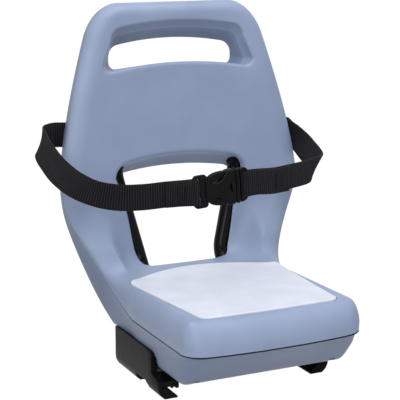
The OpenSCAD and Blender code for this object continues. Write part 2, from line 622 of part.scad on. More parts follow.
module strap(path) {
    n = len(path);
    loft([for (i = [0 : n - 1])
        let (p = path[i], t = unit(path[min(n - 1, i + 1)] - path[max(0, i - 1)]), side = unit([t[1], -t[0], 0]),
             up = unit([buckle_lean(p), skin_slope(p), 1] + side * lean_at(p)), u = unit(up - (up * t) * t) * web_w / 2,
             v = unit(cross(t, u)) * web_t / 2)
        [p - u - v, p - u + v, p + u + v, p + u - v]]);
}
module strap_holes() for (x = keeper_screw_x) keeper_bore(x, -1, screw_d / 2 + fit);
module lap_belt_left() color("#17181a") difference() {
    strap(concat(belt_left, belt_tail(-1)));
    strap_holes();
}
module lap_belt_right() color("#17181a") difference() {
    strap(concat(belt_right, belt_tail(1)));
    strap_holes();
}
module keeper(side) {
    s = s_of_z(keeper_z);
    p = skin_point(side * keeper_x, keeper_z, web_t + 1);
    q = skin_point(side * (keeper_x + keeper_l / 2), keeper_z, web_t + 1);
    translate([p[0], p[1] + keeper_t / 2, p[2]])
        rotate([-atan(skin_slope(p)), 0, atan((q[1] - p[1]) / (q[0] - p[0]))])
        cube([keeper_l, keeper_t, web_w - 2], center = true);
}
module belt_keepers() color("#2c2d30") difference() {
    for (side = [-1, 1]) keeper(side);
    strap_holes();
}
module keeper_screws() color("#8a8c90") for (x = keeper_screw_x) {
    s = s_of_z(keeper_z);
    d = rear(x, s);
    along(x, s, d - keeper_screw_l, d + web_t + keeper_t + 1.6, screw_d / 2, 12);
    along(x, s, d + web_t + keeper_t + 1.4, d + web_t + keeper_t + 3.4, screw_head / 2, 16);
}

// Side-release buckle, drawn flat: X along it, Y through it, Z up
function rounded(x0, x1, h, r) = [for (c = [[x1 - r, h - r, 0], [x0 + r, h - r, 90], [x0 + r, r - h, 180],
    [x1 - r, r - h, 270]], a = [0, 30, 60, 90]) [c[0] + r * cos(c[2] + a), c[1] + r * sin(c[2] + a)]];
module lens(x, a, b) linear_extrude(buckle_h + 2, center = true)
    polygon([for (i = [0 : 35]) [x + a * cos(10 * i), b * sin(10 * i)]]);
module slab(t) rotate([90, 0, 0]) linear_extrude(t, center = true) children();
module buckle_place() translate([0, belt_y, buckle_mid_z]) rotate([0, -buckle_tilt, 0]) children();
socket_body = socket_x + 14;
prong_x = socket_body + 6;
module side_cut(g) for (side = [-1, 1]) translate([(socket_body + plug_x) / 2 + 1, 0, side * (buckle_h / 2 + 5.5)])
    rotate([90, 0, 0]) cylinder(r = 12 + g, h = 30, center = true, $fn = 24);
module prongs(g) {
    for (side = [-1, 1]) translate([0, 0, side * 12.5]) slab(6 + 2 * g) polygon([[prong_x - g, -2 - g],
        [prong_x - g, 2 + g], [plug_x + 1, 2.5 + g], [plug_x + 1, -2.5 - g]]);
    slab(5 + 2 * g) polygon([[prong_x - g, -2 - g], [prong_x - g, 2 + g], [plug_x + 1, 4 + g], [plug_x + 1, -4 - g]]);
}
module buckle_socket() color("#202124") buckle_place() difference() {
    union() {
        slab(bar_t) polygon(rounded(socket_x, socket_body + 2, buckle_h / 2 - 2, 3));
        intersection() {
            slab(buckle_t) polygon(rounded(socket_body, plug_x, buckle_h / 2, 5));
            lens((socket_body + plug_x) / 2, 17, 7.2);
        }
    }
    slab(30) polygon(rounded(socket_x + bar_w, socket_x + bar_w + slot_w, buckle_h / 2 - 4, 1));
    side_cut(0);
    prongs(0.4);
}
plug_body = plug_x + 14;
module buckle_plug() color("#202124") buckle_place() {
    difference() {
        slab(bar_t) polygon(rounded(plug_body - 2, buckle_end, buckle_h / 2 - 2, 3));
        slab(30) polygon(rounded(buckle_end - bar_w - slot_w, buckle_end - bar_w, buckle_h / 2 - 4, 1));
    }
    intersection() {
        slab(buckle_t - 3) polygon(rounded(plug_x + 0.3, plug_body, buckle_h / 2 - 1, 4));
        lens(plug_x, 19, 6);
    }
    prongs(0);
}

// Everything is moved back so that the frame origin lies midway between the claws
module placed_part() translate([0, -claw_mid, 0]) children();
placed_part() front_shell();
placed_part() rear_shell();
placed_part() seat_pad();
placed_part() frame_tube();
placed_part() front_cross_strap();
placed_part() rear_cross_strap();
placed_part() claw_left();
placed_part() claw_right();
placed_part() jaw_left();
placed_part() jaw_right();
placed_part() clamp_bolts();
placed_part() clamp_nuts();
placed_part() tube_bolts();
placed_part() tube_nuts();
placed_part() shell_screws();
placed_part() lap_belt_left();
placed_part() lap_belt_right();
placed_part() belt_keepers();
placed_part() keeper_screws();
placed_part() buckle_socket();
placed_part() buckle_plug();
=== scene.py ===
"""Child bicycle seat for a luggage carrier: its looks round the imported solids."""

import math
from contextlib import contextmanager

import bmesh
import bpy
import numpy as np
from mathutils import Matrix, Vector
from mathutils.geometry import delaunay_2d_cdt


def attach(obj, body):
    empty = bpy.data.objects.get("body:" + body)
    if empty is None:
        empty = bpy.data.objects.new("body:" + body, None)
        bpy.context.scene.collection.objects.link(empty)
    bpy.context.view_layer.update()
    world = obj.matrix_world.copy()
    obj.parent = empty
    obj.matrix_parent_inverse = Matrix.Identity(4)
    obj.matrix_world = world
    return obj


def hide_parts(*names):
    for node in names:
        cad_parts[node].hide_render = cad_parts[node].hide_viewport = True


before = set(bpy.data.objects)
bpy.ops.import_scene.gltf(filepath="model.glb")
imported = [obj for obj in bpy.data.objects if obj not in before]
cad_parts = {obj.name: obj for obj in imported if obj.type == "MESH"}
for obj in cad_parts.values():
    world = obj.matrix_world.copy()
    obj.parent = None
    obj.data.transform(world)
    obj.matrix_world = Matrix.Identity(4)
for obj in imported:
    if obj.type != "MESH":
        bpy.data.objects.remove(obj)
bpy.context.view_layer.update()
MM = 0.001
MID = 140.0  # the frame origin lies midway between the claws, this far behind the seat's own zero


# Sizes of the moulded shells, in millimetres, the same rules as the solids
SEAT_Z, SEAT_RISE, PARTING_Z, TRAY_Z = 108.0, 2.0, 74.0, 30.0
FRONT_W, REAR_W, SEAT_L, NOSE_L, NOSE_ROLL, CHIN_L = 225.0, 225.0, 140.0, 22.0, 28.0, 44.0
CORNER_R, NOSE_BOW, NOSE_FADE = 24.0, 9.0, 40.0
BACK_TOP, BACK_T, WAIST_Z, WAIST_W = 431.0, 30.0, 217.0, 320.4
SHOULDER_W, SHOULDER_Z, BACK_Y, LEAN, DISH, TURN_R = 239.2, 390.0, 246.0, 0.025, 23.0, 87.0
CROWN_W, CROWN_H, BACK_EDGE, SEAT_EDGE, TURN_EDGE = 30.0, 40.0, 22.0, 14.0, 11.0
TURN_WAIST, TURN_FLARE, DRAFT, SEAM, GROOVE, WALL = 10.0, 4.0, 6.0, 1.0, 1.7, 2.4
TURN_Z = SEAT_Z + TURN_R
TURN_LEN = TURN_R * math.pi / 2
BACK_S = SEAT_L + TURN_LEN
TURN_END = BACK_Y + (TURN_Z - WAIST_Z) * LEAN - SEAT_L


def lerp(a, b, t):
    return a + (b - a) * t


def ease(t):
    c = np.clip(t, 0, 1)
    return c * c * (3 - 2 * c)


def unit(v):
    return v / np.linalg.norm(v, axis=-1)[..., None]


def round_in(r, d):
    return np.where(d >= r, 0, r - np.sqrt(np.maximum(0, r * r - (r - d) ** 2)))


def angle(s):
    """Turn from seat (0) to back (a right angle) at a station."""
    return math.pi / 2 * np.clip((s - SEAT_L) / TURN_LEN, 0, 1)


def height(s):
    return TURN_Z + s - BACK_S


def station(z):
    return BACK_S + z - TURN_Z


def by_part(s, seat, turn, back):
    return np.where(s < SEAT_L, seat, np.where(s < BACK_S, turn, back))


def place(x, s, d):
    """A point at half width x, station s and depth d, in metres in the shared frame."""
    t = angle(s)
    bow = NOSE_BOW * (2 * x / FRONT_W) ** 2 * np.clip(1 - (s + NOSE_L) / NOSE_FADE, 0, 1)
    y = np.where(s < SEAT_L, s, SEAT_L) + d * np.sin(t) + bow - MID
    z = np.where(s <= BACK_S, TURN_Z, height(s)) - d * np.cos(t)
    # the moulded shells end in narrow flats at the very front and top
    return np.stack([x + 0 * y, np.maximum(y, 0.4 - NOSE_L - MID), np.minimum(z, BACK_TOP - 0.4)], -1) * MM


def corner(a, b, s, p):
    t = angle(s)
    return ((np.sin(t) / b) ** p + (np.cos(t) / a) ** p) ** (-1 / p)


def back_half(z):
    up = WAIST_W / 2 - (WAIST_W - SHOULDER_W) / 2 * (np.maximum(z - WAIST_Z, 0) / (SHOULDER_Z - WAIST_Z)) ** 1.4
    low = WAIST_W / 2 - 26.8 * (np.maximum(WAIST_Z - z, 0) / 112) ** 1.79
    return np.where(z > WAIST_Z, up, low)


def half(s):
    """Half width of the outline at a station."""
    seat = lerp(FRONT_W, REAR_W, np.clip(s / SEAT_L, 0, 1)) / 2
    nose = seat - round_in(CORNER_R, s + NOSE_L)
    t = angle(s)
    turn = lerp(REAR_W / 2, back_half(TURN_Z), ease(t * 2 / math.pi)) - TURN_WAIST * np.sin(2 * t)
    d = np.clip((BACK_TOP - height(s)) / CROWN_H, 0, 1)
    back = back_half(height(s)) - CROWN_W * (1 - np.sqrt(1 - (1 - d) ** 2))
    return by_part(s, nose, turn, back)


def edge(s):
    t = angle(s)
    return lerp(SEAT_EDGE, BACK_EDGE, ease(t * 2 / math.pi)) + TURN_EDGE * np.sin(2 * t) * ease((t - 0.3) / 0.4)


def draft(s):
    t = angle(s)
    return lerp(DRAFT, 1, ease(t * 2 / math.pi)) - TURN_FLARE * np.sin(2 * t)


def seat_top(s):
    d = np.clip((s + NOSE_L) / NOSE_ROLL, 0, 1)
    top = SEAT_Z + SEAT_RISE * np.clip(1 - s / SEAT_L, 0, 1)
    return PARTING_Z + (top - PARTING_Z) * np.sqrt(1 - (1 - d) ** 2)


def tray_bottom(s):
    slope = PARTING_Z - (s + NOSE_L) * (PARTING_Z - TRAY_Z) / CHIN_L - TRAY_Z
    return TRAY_Z + 0.5 * (slope + np.sqrt(slope**2 + 9)) - 0.1


def back_face(x, s):
    z = height(s)
    dish = DISH * np.clip((BACK_TOP - z) / (BACK_TOP - WAIST_Z), 0, 1) * (x / half(s)) ** 2
    return BACK_Y + (z - WAIST_Z) * LEAN - SEAT_L - dish


def turn_end(x, s):
    """Depth at which the turn runs out into the front of the back."""
    return TURN_END - DISH * (x / half(np.full_like(s, BACK_S))) ** 2


def front_depth(x, s):
    """Depth of the front skin away from its rounded edge."""
    p = lerp(9, 2, ease((np.abs(x) - 45) / 60))
    back = back_face(x, s) + round_in(BACK_T / 2 - 1, BACK_TOP - height(s))
    return by_part(s, TURN_Z - seat_top(s), corner(TURN_R, turn_end(x, s), s, p), back)


def rear_depth(x, s):
    turn = corner(TURN_Z - TRAY_Z, turn_end(x, s) + BACK_T, s, 2.4)
    back = back_face(x, s) + BACK_T - round_in(BACK_T / 2 - 1, BACK_TOP - height(s))
    return by_part(s, TURN_Z - tray_bottom(s), turn, back)


def joint_depth(s):
    """Depth of the joint between the shells at the outline."""
    turn = corner(TURN_Z - PARTING_Z, TURN_END - DISH + BACK_T / 2, s, 2)
    return by_part(s, TURN_Z - PARTING_Z, turn, back_face(half(s), s) + BACK_T / 2)


def joint_at(x, s):
    """Depth of the joint anywhere: it follows the dished front."""
    w = half(s) - edge(s)
    inner = np.clip(np.abs(x), 0, w)
    return joint_depth(s) + np.where(s < SEAT_L, 0, front_depth(inner, s) - front_depth(w, s))


# Grid of a skin: rows are stations, columns run across, flat part and rounded edge on each side
FLAT, ARC = 34, 9
COLS = 2 * (FLAT + ARC)
MIDDLE = FLAT + ARC


def rows_after(first):
    """Stations of the rows of a skin: the first ones, and those that both shells share."""
    seat = np.arange(first[-1] + 5, SEAT_L - 2, 5)
    turn = np.linspace(SEAT_L, BACK_S, 27)
    crown = station(BACK_TOP) - CROWN_H * (1 - np.cos(np.linspace(math.pi / 2, 0.035, 15)))
    back = np.arange(BACK_S + 5, crown[0] - 2.5, 5)
    return np.concatenate([first, seat, turn, back, crown, [station(BACK_TOP)]])


FRONT_ROWS = rows_after([NOSE_ROLL * (1 - math.cos(math.radians(a))) - NOSE_L for a in (0, *np.linspace(3, 90, 15))])
REAR_ROWS = rows_after(np.array([0, 0.7, 1.5, 3, 6, 10, 15, 21, 27, 32, 36, 39, 41.5, 44, 47, 52]) - NOSE_L)


def front_column(x, s):
    """Column at which the front skin has half width x."""
    w, r = half(s), edge(s)
    a = np.arcsin(np.clip((np.abs(x) - (w - r)) / r, 0, 1))
    return np.sign(x) * np.where(np.abs(x) <= w - r, np.abs(x) / (w - r) * FLAT, FLAT + ARC * a * 2 / math.pi)


REAR_R = 10.0


def rear_column(x, s):
    q = half(s) - SEAM - draft(s) - REAR_R
    return np.clip(x / q, -1, 1) * FLAT


# Rounded outlines of the openings, dense, as (x, s) loops
def arc(cx, cs, r, a0):
    a = np.radians(a0 + np.linspace(0, 90, 10))
    return np.stack([cx + r * np.cos(a), cs + r * np.sin(a)], 1)


def filled(loop, step=3.0):
    """The loop with points added so that none is farther than a step from the next."""
    out = []
    for a, b in zip(loop, np.roll(loop, -1, 0)):
        n = max(1, int(np.ceil(np.linalg.norm(b - a) / step)))
        out += [a + (b - a) * k / n for k in range(n)]
    return np.array(out)


def opening(bottom, top, low, high, r0, r1, arch0, arch1, g):
    """Counts of points must not change with g or depth, so the straight parts get fixed counts."""

    def run(a, b, n):
        k = np.arange(1, n)[:, None] / n
        return a * (1 - k) + b * k

    bl, br = arc(-bottom + r0, low + r0, r0 + g, 180), arc(bottom - r0, low + r0, r0 + g, 270)
    tr, tl = arc(top - r1, high - r1, r1 + g, 0), arc(-top + r1, high - r1, r1 + g, 90)
    loop = np.concatenate([bl, run(bl[-1], br[0], 44), br, run(br[-1], tr[0], 22), tr, run(tr[-1], tl[0], 44), tl,
                           run(tl[-1], bl[0], 22)])
    side = ease((np.clip((loop[:, 1] - low) / (high - low), 0, 1) - 0.25) / 0.5)
    low_lift = arch0 * np.maximum(-0.3, 1 - (loop[:, 0] / bottom) ** 2)
    high_lift = arch1 * np.maximum(-0.3, 1 - (loop[:, 0] / top) ** 2)
    loop[:, 1] += lerp(low_lift, high_lift, side)
    return loop


HANDLE_TOP, HANDLE_BOTTOM, HANDLE_LOW, HANDLE_HIGH = 88.0, 100.0, 349.0, 399.0
HANDLE_ARCH, HANDLE_DROP, HANDLE_REAR, HANDLE_RIM = 9.0, 22.0, 83.0, 4.0
GAP_TOP, GAP_BOTTOM, GAP_TAPER, GAP_HIGH = 87.0, 63.0, 4.0, 234.0
GAP_ARCH, GAP_DROP, GAP_START, GAP_RIM = 10.0, 15.0, 47.0, 6.0


def handle_outline(t, g):
    return opening(lerp(HANDLE_BOTTOM, HANDLE_REAR, t), lerp(HANDLE_TOP, HANDLE_REAR, t), station(HANDLE_LOW),
                   station(HANDLE_HIGH - t * HANDLE_DROP), 10, 12, HANDLE_ARCH * (1 - t / 2), HANDLE_ARCH, g)


def gap_outline(t, g):
    return opening(GAP_BOTTOM - t * GAP_TAPER, GAP_TOP - t * GAP_TAPER, SEAT_L + TURN_LEN * GAP_START / 90,
                   station(GAP_HIGH - t * GAP_DROP), 20, 14, 0, GAP_ARCH * (1 - t / 4), g)


def rim_rows(outline, rim, side):
    """Rings of points from the skin round the rim to the joint, for the front or the rear shell."""
    shell, depth, r, n = (0, front_depth, rim, 9) if side == "front" else (1, rear_depth, -rim / 2, 7)
    rings = []
    for q in np.radians(np.linspace(0, 90, n)):
        loop = outline(shell, abs(r) * (1 - math.sin(q)))
        rings.append((loop, depth(*loop.T) + r * (1 - math.cos(q))))
    a, b = outline(0, 0), outline(1, 0)
    da, db = front_depth(*a.T) + rim, rear_depth(*b.T) - rim / 2
    t = np.full(len(a), 0.5)
    for _ in range(8):
        t = np.clip((joint_at(*(a + (b - a) * t[:, None]).T) - da) / (db - da), 0.02, 0.98)
    if side == "rear":
        a, da, b, db, t = b, db, a, da, 1 - t
    for k in (0.5, 1.0):
        rings.append((a + (b - a) * (t * k)[:, None], da + (db - da) * t * k))
    return rings


def rims(side):
    return [rim_rows(handle_outline, HANDLE_RIM, side), rim_rows(gap_outline, GAP_RIM, side)]


def inside(points, loop):
    """Which points lie inside a closed loop."""
    x, y = points[:, 0][:, None], points[:, 1][:, None]
    x0, y0 = loop[:, 0][None], loop[:, 1][None]
    x1, y1 = np.roll(loop[:, 0], -1)[None], np.roll(loop[:, 1], -1)[None]
    cross = ((y0 > y) != (y1 > y)) & (x < (x1 - x0) * (y - y0) / np.where(y1 == y0, 1e-9, y1 - y0) + x0)
    return cross.sum(1) % 2 == 1


def triangulated(rings, inner, near):
    """Triangles between closed rings and inner points, and the vertices that each ring became."""
    edges, starts = [], np.cumsum([0] + [len(ring) for ring in rings])
    for at, ring in zip(starts, rings):
        edges += [(at + k, at + (k + 1) % len(ring)) for k in range(len(ring))]
    flat = [Vector(p) for p in np.concatenate([*rings, inner])]
    verts, _, faces, origin, _, _ = delaunay_2d_cdt(flat, edges, [], 0, near)
    order = {i: k for k, o in enumerate(origin) for i in o}
    members = [np.array([order[i] for i in range(a, b)]) for a, b in zip(starts, starts[1:])]
    return np.array([tuple(v) for v in verts]), np.array([tuple(f) for f in faces]), members


def skin_mesh(rows, loops, column, skin, holes=0):
    """Skin whose grid is cut along (x, s) loops; as many as holes says of them are left open.
    Gives the vertices on the grid, the faces, the loops' vertices, and half widths, depths and stations."""
    index = np.arange(len(rows), dtype=float)
    rings = [np.stack([column(*l.T) + MIDDLE, np.interp(l[:, 1], rows, index)], 1) for l in loops]
    grid = np.stack(np.meshgrid(np.arange(COLS + 1.0), index, indexing="ij"), -1).reshape(-1, 2)
    keep = np.ones(len(grid), bool)
    for ring in rings:
        keep &= np.min(np.linalg.norm(grid[:, None] - ring[None], axis=2), 1) > 0.42
    verts, faces, members = triangulated(rings, grid[keep], 1e-6)
    for ring in rings[:holes]:
        faces = faces[~inside(verts[faces].mean(1), ring)]
    s = np.interp(verts[:, 1], index, rows)
    return verts, faces, members, *skin(verts[:, 0] - MIDDLE, s), s


# Meshes of the moulded shells
@contextmanager
def edited(me):
    """The mesh opened for editing, and written back at the end."""
    bm = bmesh.new()
    bm.from_mesh(me)
    yield bm
    bm.to_mesh(me)
    bm.free()


def linked(name, data):
    ob = bpy.data.objects.new(name, data)
    bpy.context.scene.collection.objects.link(ob)
    return ob


def mesh_object(name, verts, faces, indices=None):
    me = bpy.data.meshes.new(name)
    me.from_pydata([tuple(map(float, v)) for v in verts], [], [tuple(map(int, f)) for f in faces])
    if indices is not None:
        me.materials.append(None)
        me.materials.append(None)
        me.polygons.foreach_set("material_index", np.array(indices, np.int32))
    me.validate()
    with edited(me) as bm:
        bmesh.ops.recalc_face_normals(bm, faces=bm.faces)
        if bm.calc_volume(signed=True) < 0:
            bmesh.ops.reverse_faces(bm, faces=bm.faces)
    return linked(name, me)


def points_of(ob):
    return np.array([v.co for v in ob.data.vertices])


def move_to(ob, points):
    ob.data.vertices.foreach_set("co", points.ravel().astype(np.float32))


def settle(ob):
    """Turns what the modifiers make into the piece's own mesh."""
    bpy.context.view_layer.update()
    made = bpy.data.meshes.new_from_object(ob.evaluated_get(bpy.context.evaluated_depsgraph_get()))
    ob.modifiers.clear()
    old, ob.data = ob.data, made
    made.name = old.name
    bpy.data.meshes.remove(old)
    return ob


def cut(ob, cutter):
    m = ob.modifiers.new("cut", "BOOLEAN")
    m.operation, m.solver, m.object = "DIFFERENCE", "EXACT", cutter
    settle(ob)
    bpy.data.objects.remove(cutter)
    return ob


def finished(ob, finish, slot, *nodes, angle=35):
    """Gives a piece its finish, its smooth shading and its place in the frame."""
    ob.data.materials.clear()
    ob.data.materials.append(FINISH[finish])
    ob.data.shade_smooth()
    ob.data.set_sharp_from_angle(angle=math.radians(angle))
    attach(ob, "root")
    if nodes:
        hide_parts(*nodes)
    return ob


def shell_body(name, rows, skin, column, rims, steps=()):
    """Closed body: the skin, the rims of its openings down to the joint, and a plate along the joint."""
    loops = [rings[0][0] for rings in rims] + [loop for loop, _ in steps]
    verts, faces, member, x, d, s = skin_mesh(rows, loops, column, skin, len(rims))
    if steps:
        inner = verts[member[-1]][:, :2]
        d = d + np.where(inside(verts[:, :2], inner), steps[-1][1], 0)
        for ring, (_, deep) in zip(member[len(rims):], steps):
            d[ring] = skin(verts[ring, 0] - MIDDLE, s[ring])[1] + deep
    top = verts[:, 1] > len(rows) - 1 - 1e-4
    d[top] = joint_at(x[top], s[top])
    points = place(x, s, d)
    count = len(points)
    extra, quads, plate_of = [], [], np.full(count, -1)
    border = top | (verts[:, 1] < 1e-4) | (np.abs(verts[:, 0] - MIDDLE) > MIDDLE - 1e-4)
    plate_of[border] = np.nonzero(border)[0]
    faces = faces[~border[faces].all(1)]
    for rings, ring in zip(rims, member):
        points[ring] = place(*rings[0][0].T, rings[0][1])
        before, n = ring, len(ring)
        for loop, deep in rings[1:]:
            extra.append(place(*loop.T, deep))
            now = np.arange(count, count + n)
            count += n
            quads += list(zip(before, np.roll(before, -1), np.roll(now, -1), now))
            before = now
        plate_of[ring] = before
    free = np.nonzero(plate_of < 0)[0]
    plate_of[free] = np.arange(count, count + len(free))
    extra.append(place(x[free], s[free], joint_at(x[free], s[free])))
    points = np.concatenate([points] + extra)
    plate = [tuple(plate_of[list(f)][::-1]) for f in faces]
    every = [tuple(f) for f in faces] + quads + plate
    every = [f for f in every if len(set(f)) == len(f)]
    kinds = [0] * (len(faces) + len(quads)) + [1] * (len(every) - len(faces) - len(quads))
    return mesh_object(name, points, every, kinds)


def walled(ob):
    """Opens a body along its joint and gives its skin a wall, which stays within the body's own box."""
    with edited(ob.data) as bm:
        bmesh.ops.delete(bm, geom=[f for f in bm.faces if f.material_index == 1], context="FACES")
    before = points_of(ob)
    m = ob.modifiers.new("wall", "SOLIDIFY")
    m.thickness, m.offset, m.use_quality_normals = WALL * MM, -1, True
    settle(ob)
    move_to(ob, np.clip(points_of(ob), before.min(0), before.max(0)))


def ring_faces(n, m):
    """Faces of a closed body of m rings of n points: its two ends, then the quads between its rings."""
    faces = [tuple(range(n)), tuple(range(m * n - 1, (m - 1) * n - 1, -1))]
    return faces + [(j * n + i, j * n + (i + 1) % n, (j + 1) * n + (i + 1) % n, (j + 1) * n + i)
                    for j in range(m - 1) for i in range(n)]


def prism(name, outline, axis, a, b):
    """Closed prism of a flat outline; axis says which coordinate it runs along, from a to b."""
    verts = np.array([[*p[:axis], c, *p[axis:]] for c in (a, b) for p in outline])
    return mesh_object(name, verts * MM, ring_faces(len(outline), 2))


def rod(name, path, r, sides=24):
    """Closed round rod along a path in millimetres."""
    path = np.array(path, float)
    t = unit(np.gradient(path, axis=0))
    a = np.linspace(0, 2 * math.pi, sides, endpoint=False)[:, None]
    u, rings = np.array([0.0, 0.0, 1.0] if abs(t[0][2]) < 0.9 else [1.0, 0.0, 0.0]), []
    for p, d in zip(path, t):
        u = unit(u - d * (u @ d))
        rings.append(p + r * (np.cos(a) * u + np.sin(a) * np.cross(d, u)))
    return mesh_object(name, np.concatenate(rings) * MM, ring_faces(sides, len(path)))


def joined(name, obs):
    """One object out of several meshes."""
    bm = bmesh.new()
    for ob in obs:
        bm.from_mesh(ob.data)
    me = bpy.data.meshes.new(name)
    bm.to_mesh(me)
    bm.free()
    for ob in obs:
        bpy.data.objects.remove(ob)
    return linked(name, me)


# Run of the bent steel tube
TUBE_R, TUBE_BEND, TUBE_GAP = 9.0, 36.0, 1.3
FOOT_X, TUBE_Z, TUBE_TOP = 54.0, 42.0, 84.0
TUBE_RUN = [(FOOT_X, 58, TUBE_Z), (FOOT_X, 192, TUBE_Z), (FOOT_X + 2, 247, 117), (TUBE_TOP - 2.5, 257.5, 219),
            (TUBE_TOP - 0.7, 262.5, 300)]


def bent_path(points, r, step=4):
    """The run with round bends, and the frame's own zero for y."""
    p = [np.array(q, float) - (0, MID, 0) for q in points]
    out = [p[0]]
    for a, b, c in zip(p, p[1:], p[2:]):
        u, v = unit(b - a), unit(c - b)
        f = math.acos(np.clip(u @ v, -1, 1))
        m = unit(v - (u @ v) * u)
        o = b - u * r * math.tan(f / 2)
        n = max(3, int(math.degrees(f) / step))
        out += [o + m * r * (1 - math.cos(q)) + u * r * math.sin(q) for q in np.linspace(0, f, n)]
    return np.array(out + [p[-1]])


TUBE_PATH = bent_path([(-x, y, z) for x, y, z in TUBE_RUN] + TUBE_RUN[::-1], TUBE_BEND)
# The channel for it runs on past both of its ends
CHANNEL = np.concatenate([[TUBE_PATH[0] + unit(TUBE_PATH[0] - TUBE_PATH[1]) * 2], TUBE_PATH,
                          [TUBE_PATH[-1] + unit(TUBE_PATH[-1] - TUBE_PATH[-2]) * 2]])
BOLT_Y = (98.0, 168.0)


def bolt_holes(r, high):
    """Rods to cut the holes for the tube's bolts with."""
    return joined("holes", [rod("hole", [(x, y - MID, 20), (x, y - MID, high)], r)
                            for x in (-FOOT_X, FOOT_X) for y in BOLT_Y])


# Outline of the seat pad, and its rings grown by g
PAD_FRONT, PAD_REAR, PAD_CORNER, PAD_W0, PAD_W1 = 3.0, 213.0, 171.0, 87.0, 101.0
PAD_RECESS, PAD_GAP, PAD_ROUND, PAD_POWER = 2.0, 0.5, 12.0, 60.0


def pad_ring(g):
    f = PAD_FRONT + PAD_ROUND
    nose = f - (PAD_ROUND + g) * np.cos(np.linspace(0, math.pi / 2, 9))
    side = np.arange(f + 5, PAD_CORNER - 14, 6.0)
    share = np.concatenate([np.linspace(1, 0.9, 8), np.linspace(0.87, 0, 24)])
    tail = PAD_REAR + g - (PAD_REAR - PAD_CORNER) * share**2
    y = np.concatenate([nose, side, PAD_CORNER - 12 + np.arange(0, 12, 2.0), tail[:-1]])
    across = np.where(y < f, PAD_W0 - PAD_ROUND + np.sqrt(np.maximum(0, (PAD_ROUND + g) ** 2 - (f - y) ** 2)),
                      lerp(PAD_W0, PAD_W1, (y - f) / (PAD_CORNER - f)) + g)
    rear = (PAD_W1 + g) * np.sqrt(np.maximum(0, (PAD_REAR + g - y) / (PAD_REAR - PAD_CORNER)))
    w = (across**-PAD_POWER + np.maximum(rear, 1e-3) ** -PAD_POWER) ** (-1 / PAD_POWER)
    right = np.stack([w, y], 1)
    tip = np.array([[0, PAD_REAR + g]])
    front = np.stack([np.linspace(-w[0], w[0], 26)[1:-1], np.full(24, y[0])], 1)
    loop = np.concatenate([right, tip, right[::-1] * (-1, 1), front])
    x, y = loop.T
    turned = SEAT_L + np.arctan((y - SEAT_L) / TURN_R) * TURN_LEN * 2 / math.pi
    return np.stack([x, np.where(y < SEAT_L, y, turned)], 1)


# The two shells
SCREWS = [(60, station(BACK_TOP - 12)), (WAIST_W * 0.4, station(300)), (WAIST_W * 0.38, station(WAIST_Z - 18)),
          (FRONT_W / 2 - 26, 20), (FOOT_X + 18, SEAT_L - 14)]


def front_xd(u, s):
    w, r = half(s), edge(s)
    flat = w - r
    a = np.clip((np.abs(u) - FLAT) / ARC, 0, 1) * math.pi / 2
    x = np.where(np.abs(u) <= FLAT, flat * np.abs(u) / FLAT, flat + r * np.sin(a))
    top = front_depth(np.minimum(x, flat), s)
    d = top + (joint_depth(s) - top) * (1 - np.cos(a))
    return np.sign(u) * (x - 1.4 * ease((a - 1.15) / 0.42)), d


def rear_xd(u, s):
    w, j = half(s) - SEAM, joint_depth(s)
    q = w - draft(s) - REAR_R
    r = np.clip(0.8 * (rear_depth(w, s) - j), 0.01, REAR_R)
    t = np.clip((np.abs(u) - FLAT) / ARC, 0, 1)
    a = np.clip(t / 0.6, 0, 1) * math.pi / 2
    side = np.clip((t - 0.6) / 0.4, 0, 1)
    x = np.where(np.abs(u) <= FLAT, q * np.abs(u) / FLAT, q + REAR_R * np.sin(a) + (w - q - REAR_R) * side)
    e = rear_depth(q, s)
    d = np.where(np.abs(u) <= FLAT, rear_depth(np.minimum(x, q), s), e - r * (1 - np.cos(a)))
    gap = GROOVE * (1 - ease(angle(s) / 0.6))
    d = np.where(side > 0, lerp(e - r, j + gap, side), d)
    return np.sign(u) * x, np.where(s < SEAT_L, np.maximum(d, j + GROOVE), d)


def screw_places():
    """Where each shell screw's head rests, and the direction out of the back."""
    x, s = np.array([(side * x, s) for x, s in SCREWS for side in (-1, 1)], float).T
    t = angle(s)
    return list(zip(place(x, s, joint_at(x, s) + 8) / MM, np.stack([0 * t, np.sin(t), -np.cos(t)], 1)))


def make_front():
    steps = [(pad_ring(PAD_GAP + g), deep) for g, deep in ((1.1, 0), (0.5, 0.2), (0.12, 0.8), (0, PAD_RECESS + 0.1))]
    ob = shell_body("front_shell_skin", FRONT_ROWS, front_xd, front_column, rims("front"), steps)
    walled(ob)
    return cut(ob, rod("channel", CHANNEL, TUBE_R + TUBE_GAP))


def make_rear():
    ob = shell_body("rear_shell_skin", REAR_ROWS, rear_xd, rear_column, rims("rear"))
    # room for the claws beside the tray
    y0, y1, z0, z1, r = 81.0 - MID, 294.0 - MID, -10.0, 51.0, 10.0
    bend = [(y0 + r - r * math.cos(q), z1 - r + r * math.sin(q)) for q in np.radians(np.linspace(0, 90, 7))]
    for side in (-1, 1):
        cut(ob, prism("notch", [(y0, z0), *bend, (y1, z1), (y1, z0)], 0, side * 82, side * 190))
    cut(ob, joined("bores", [rod("bore", [p, p + v * 90], 4.2) for p, v in screw_places()]))
    walled(ob)
    # the rim under the seat stays level, so that the groove along the joint is open
    co = points_of(ob)
    seat = co[:, 1] < (SEAT_L - MID) * MM
    co[seat, 2] = np.minimum(co[seat, 2], (PARTING_Z - GROOVE) * MM)
    move_to(ob, co)
    cut(ob, rod("channel", CHANNEL, TUBE_R + TUBE_GAP))
    return cut(ob, bolt_holes(3.3, 44))


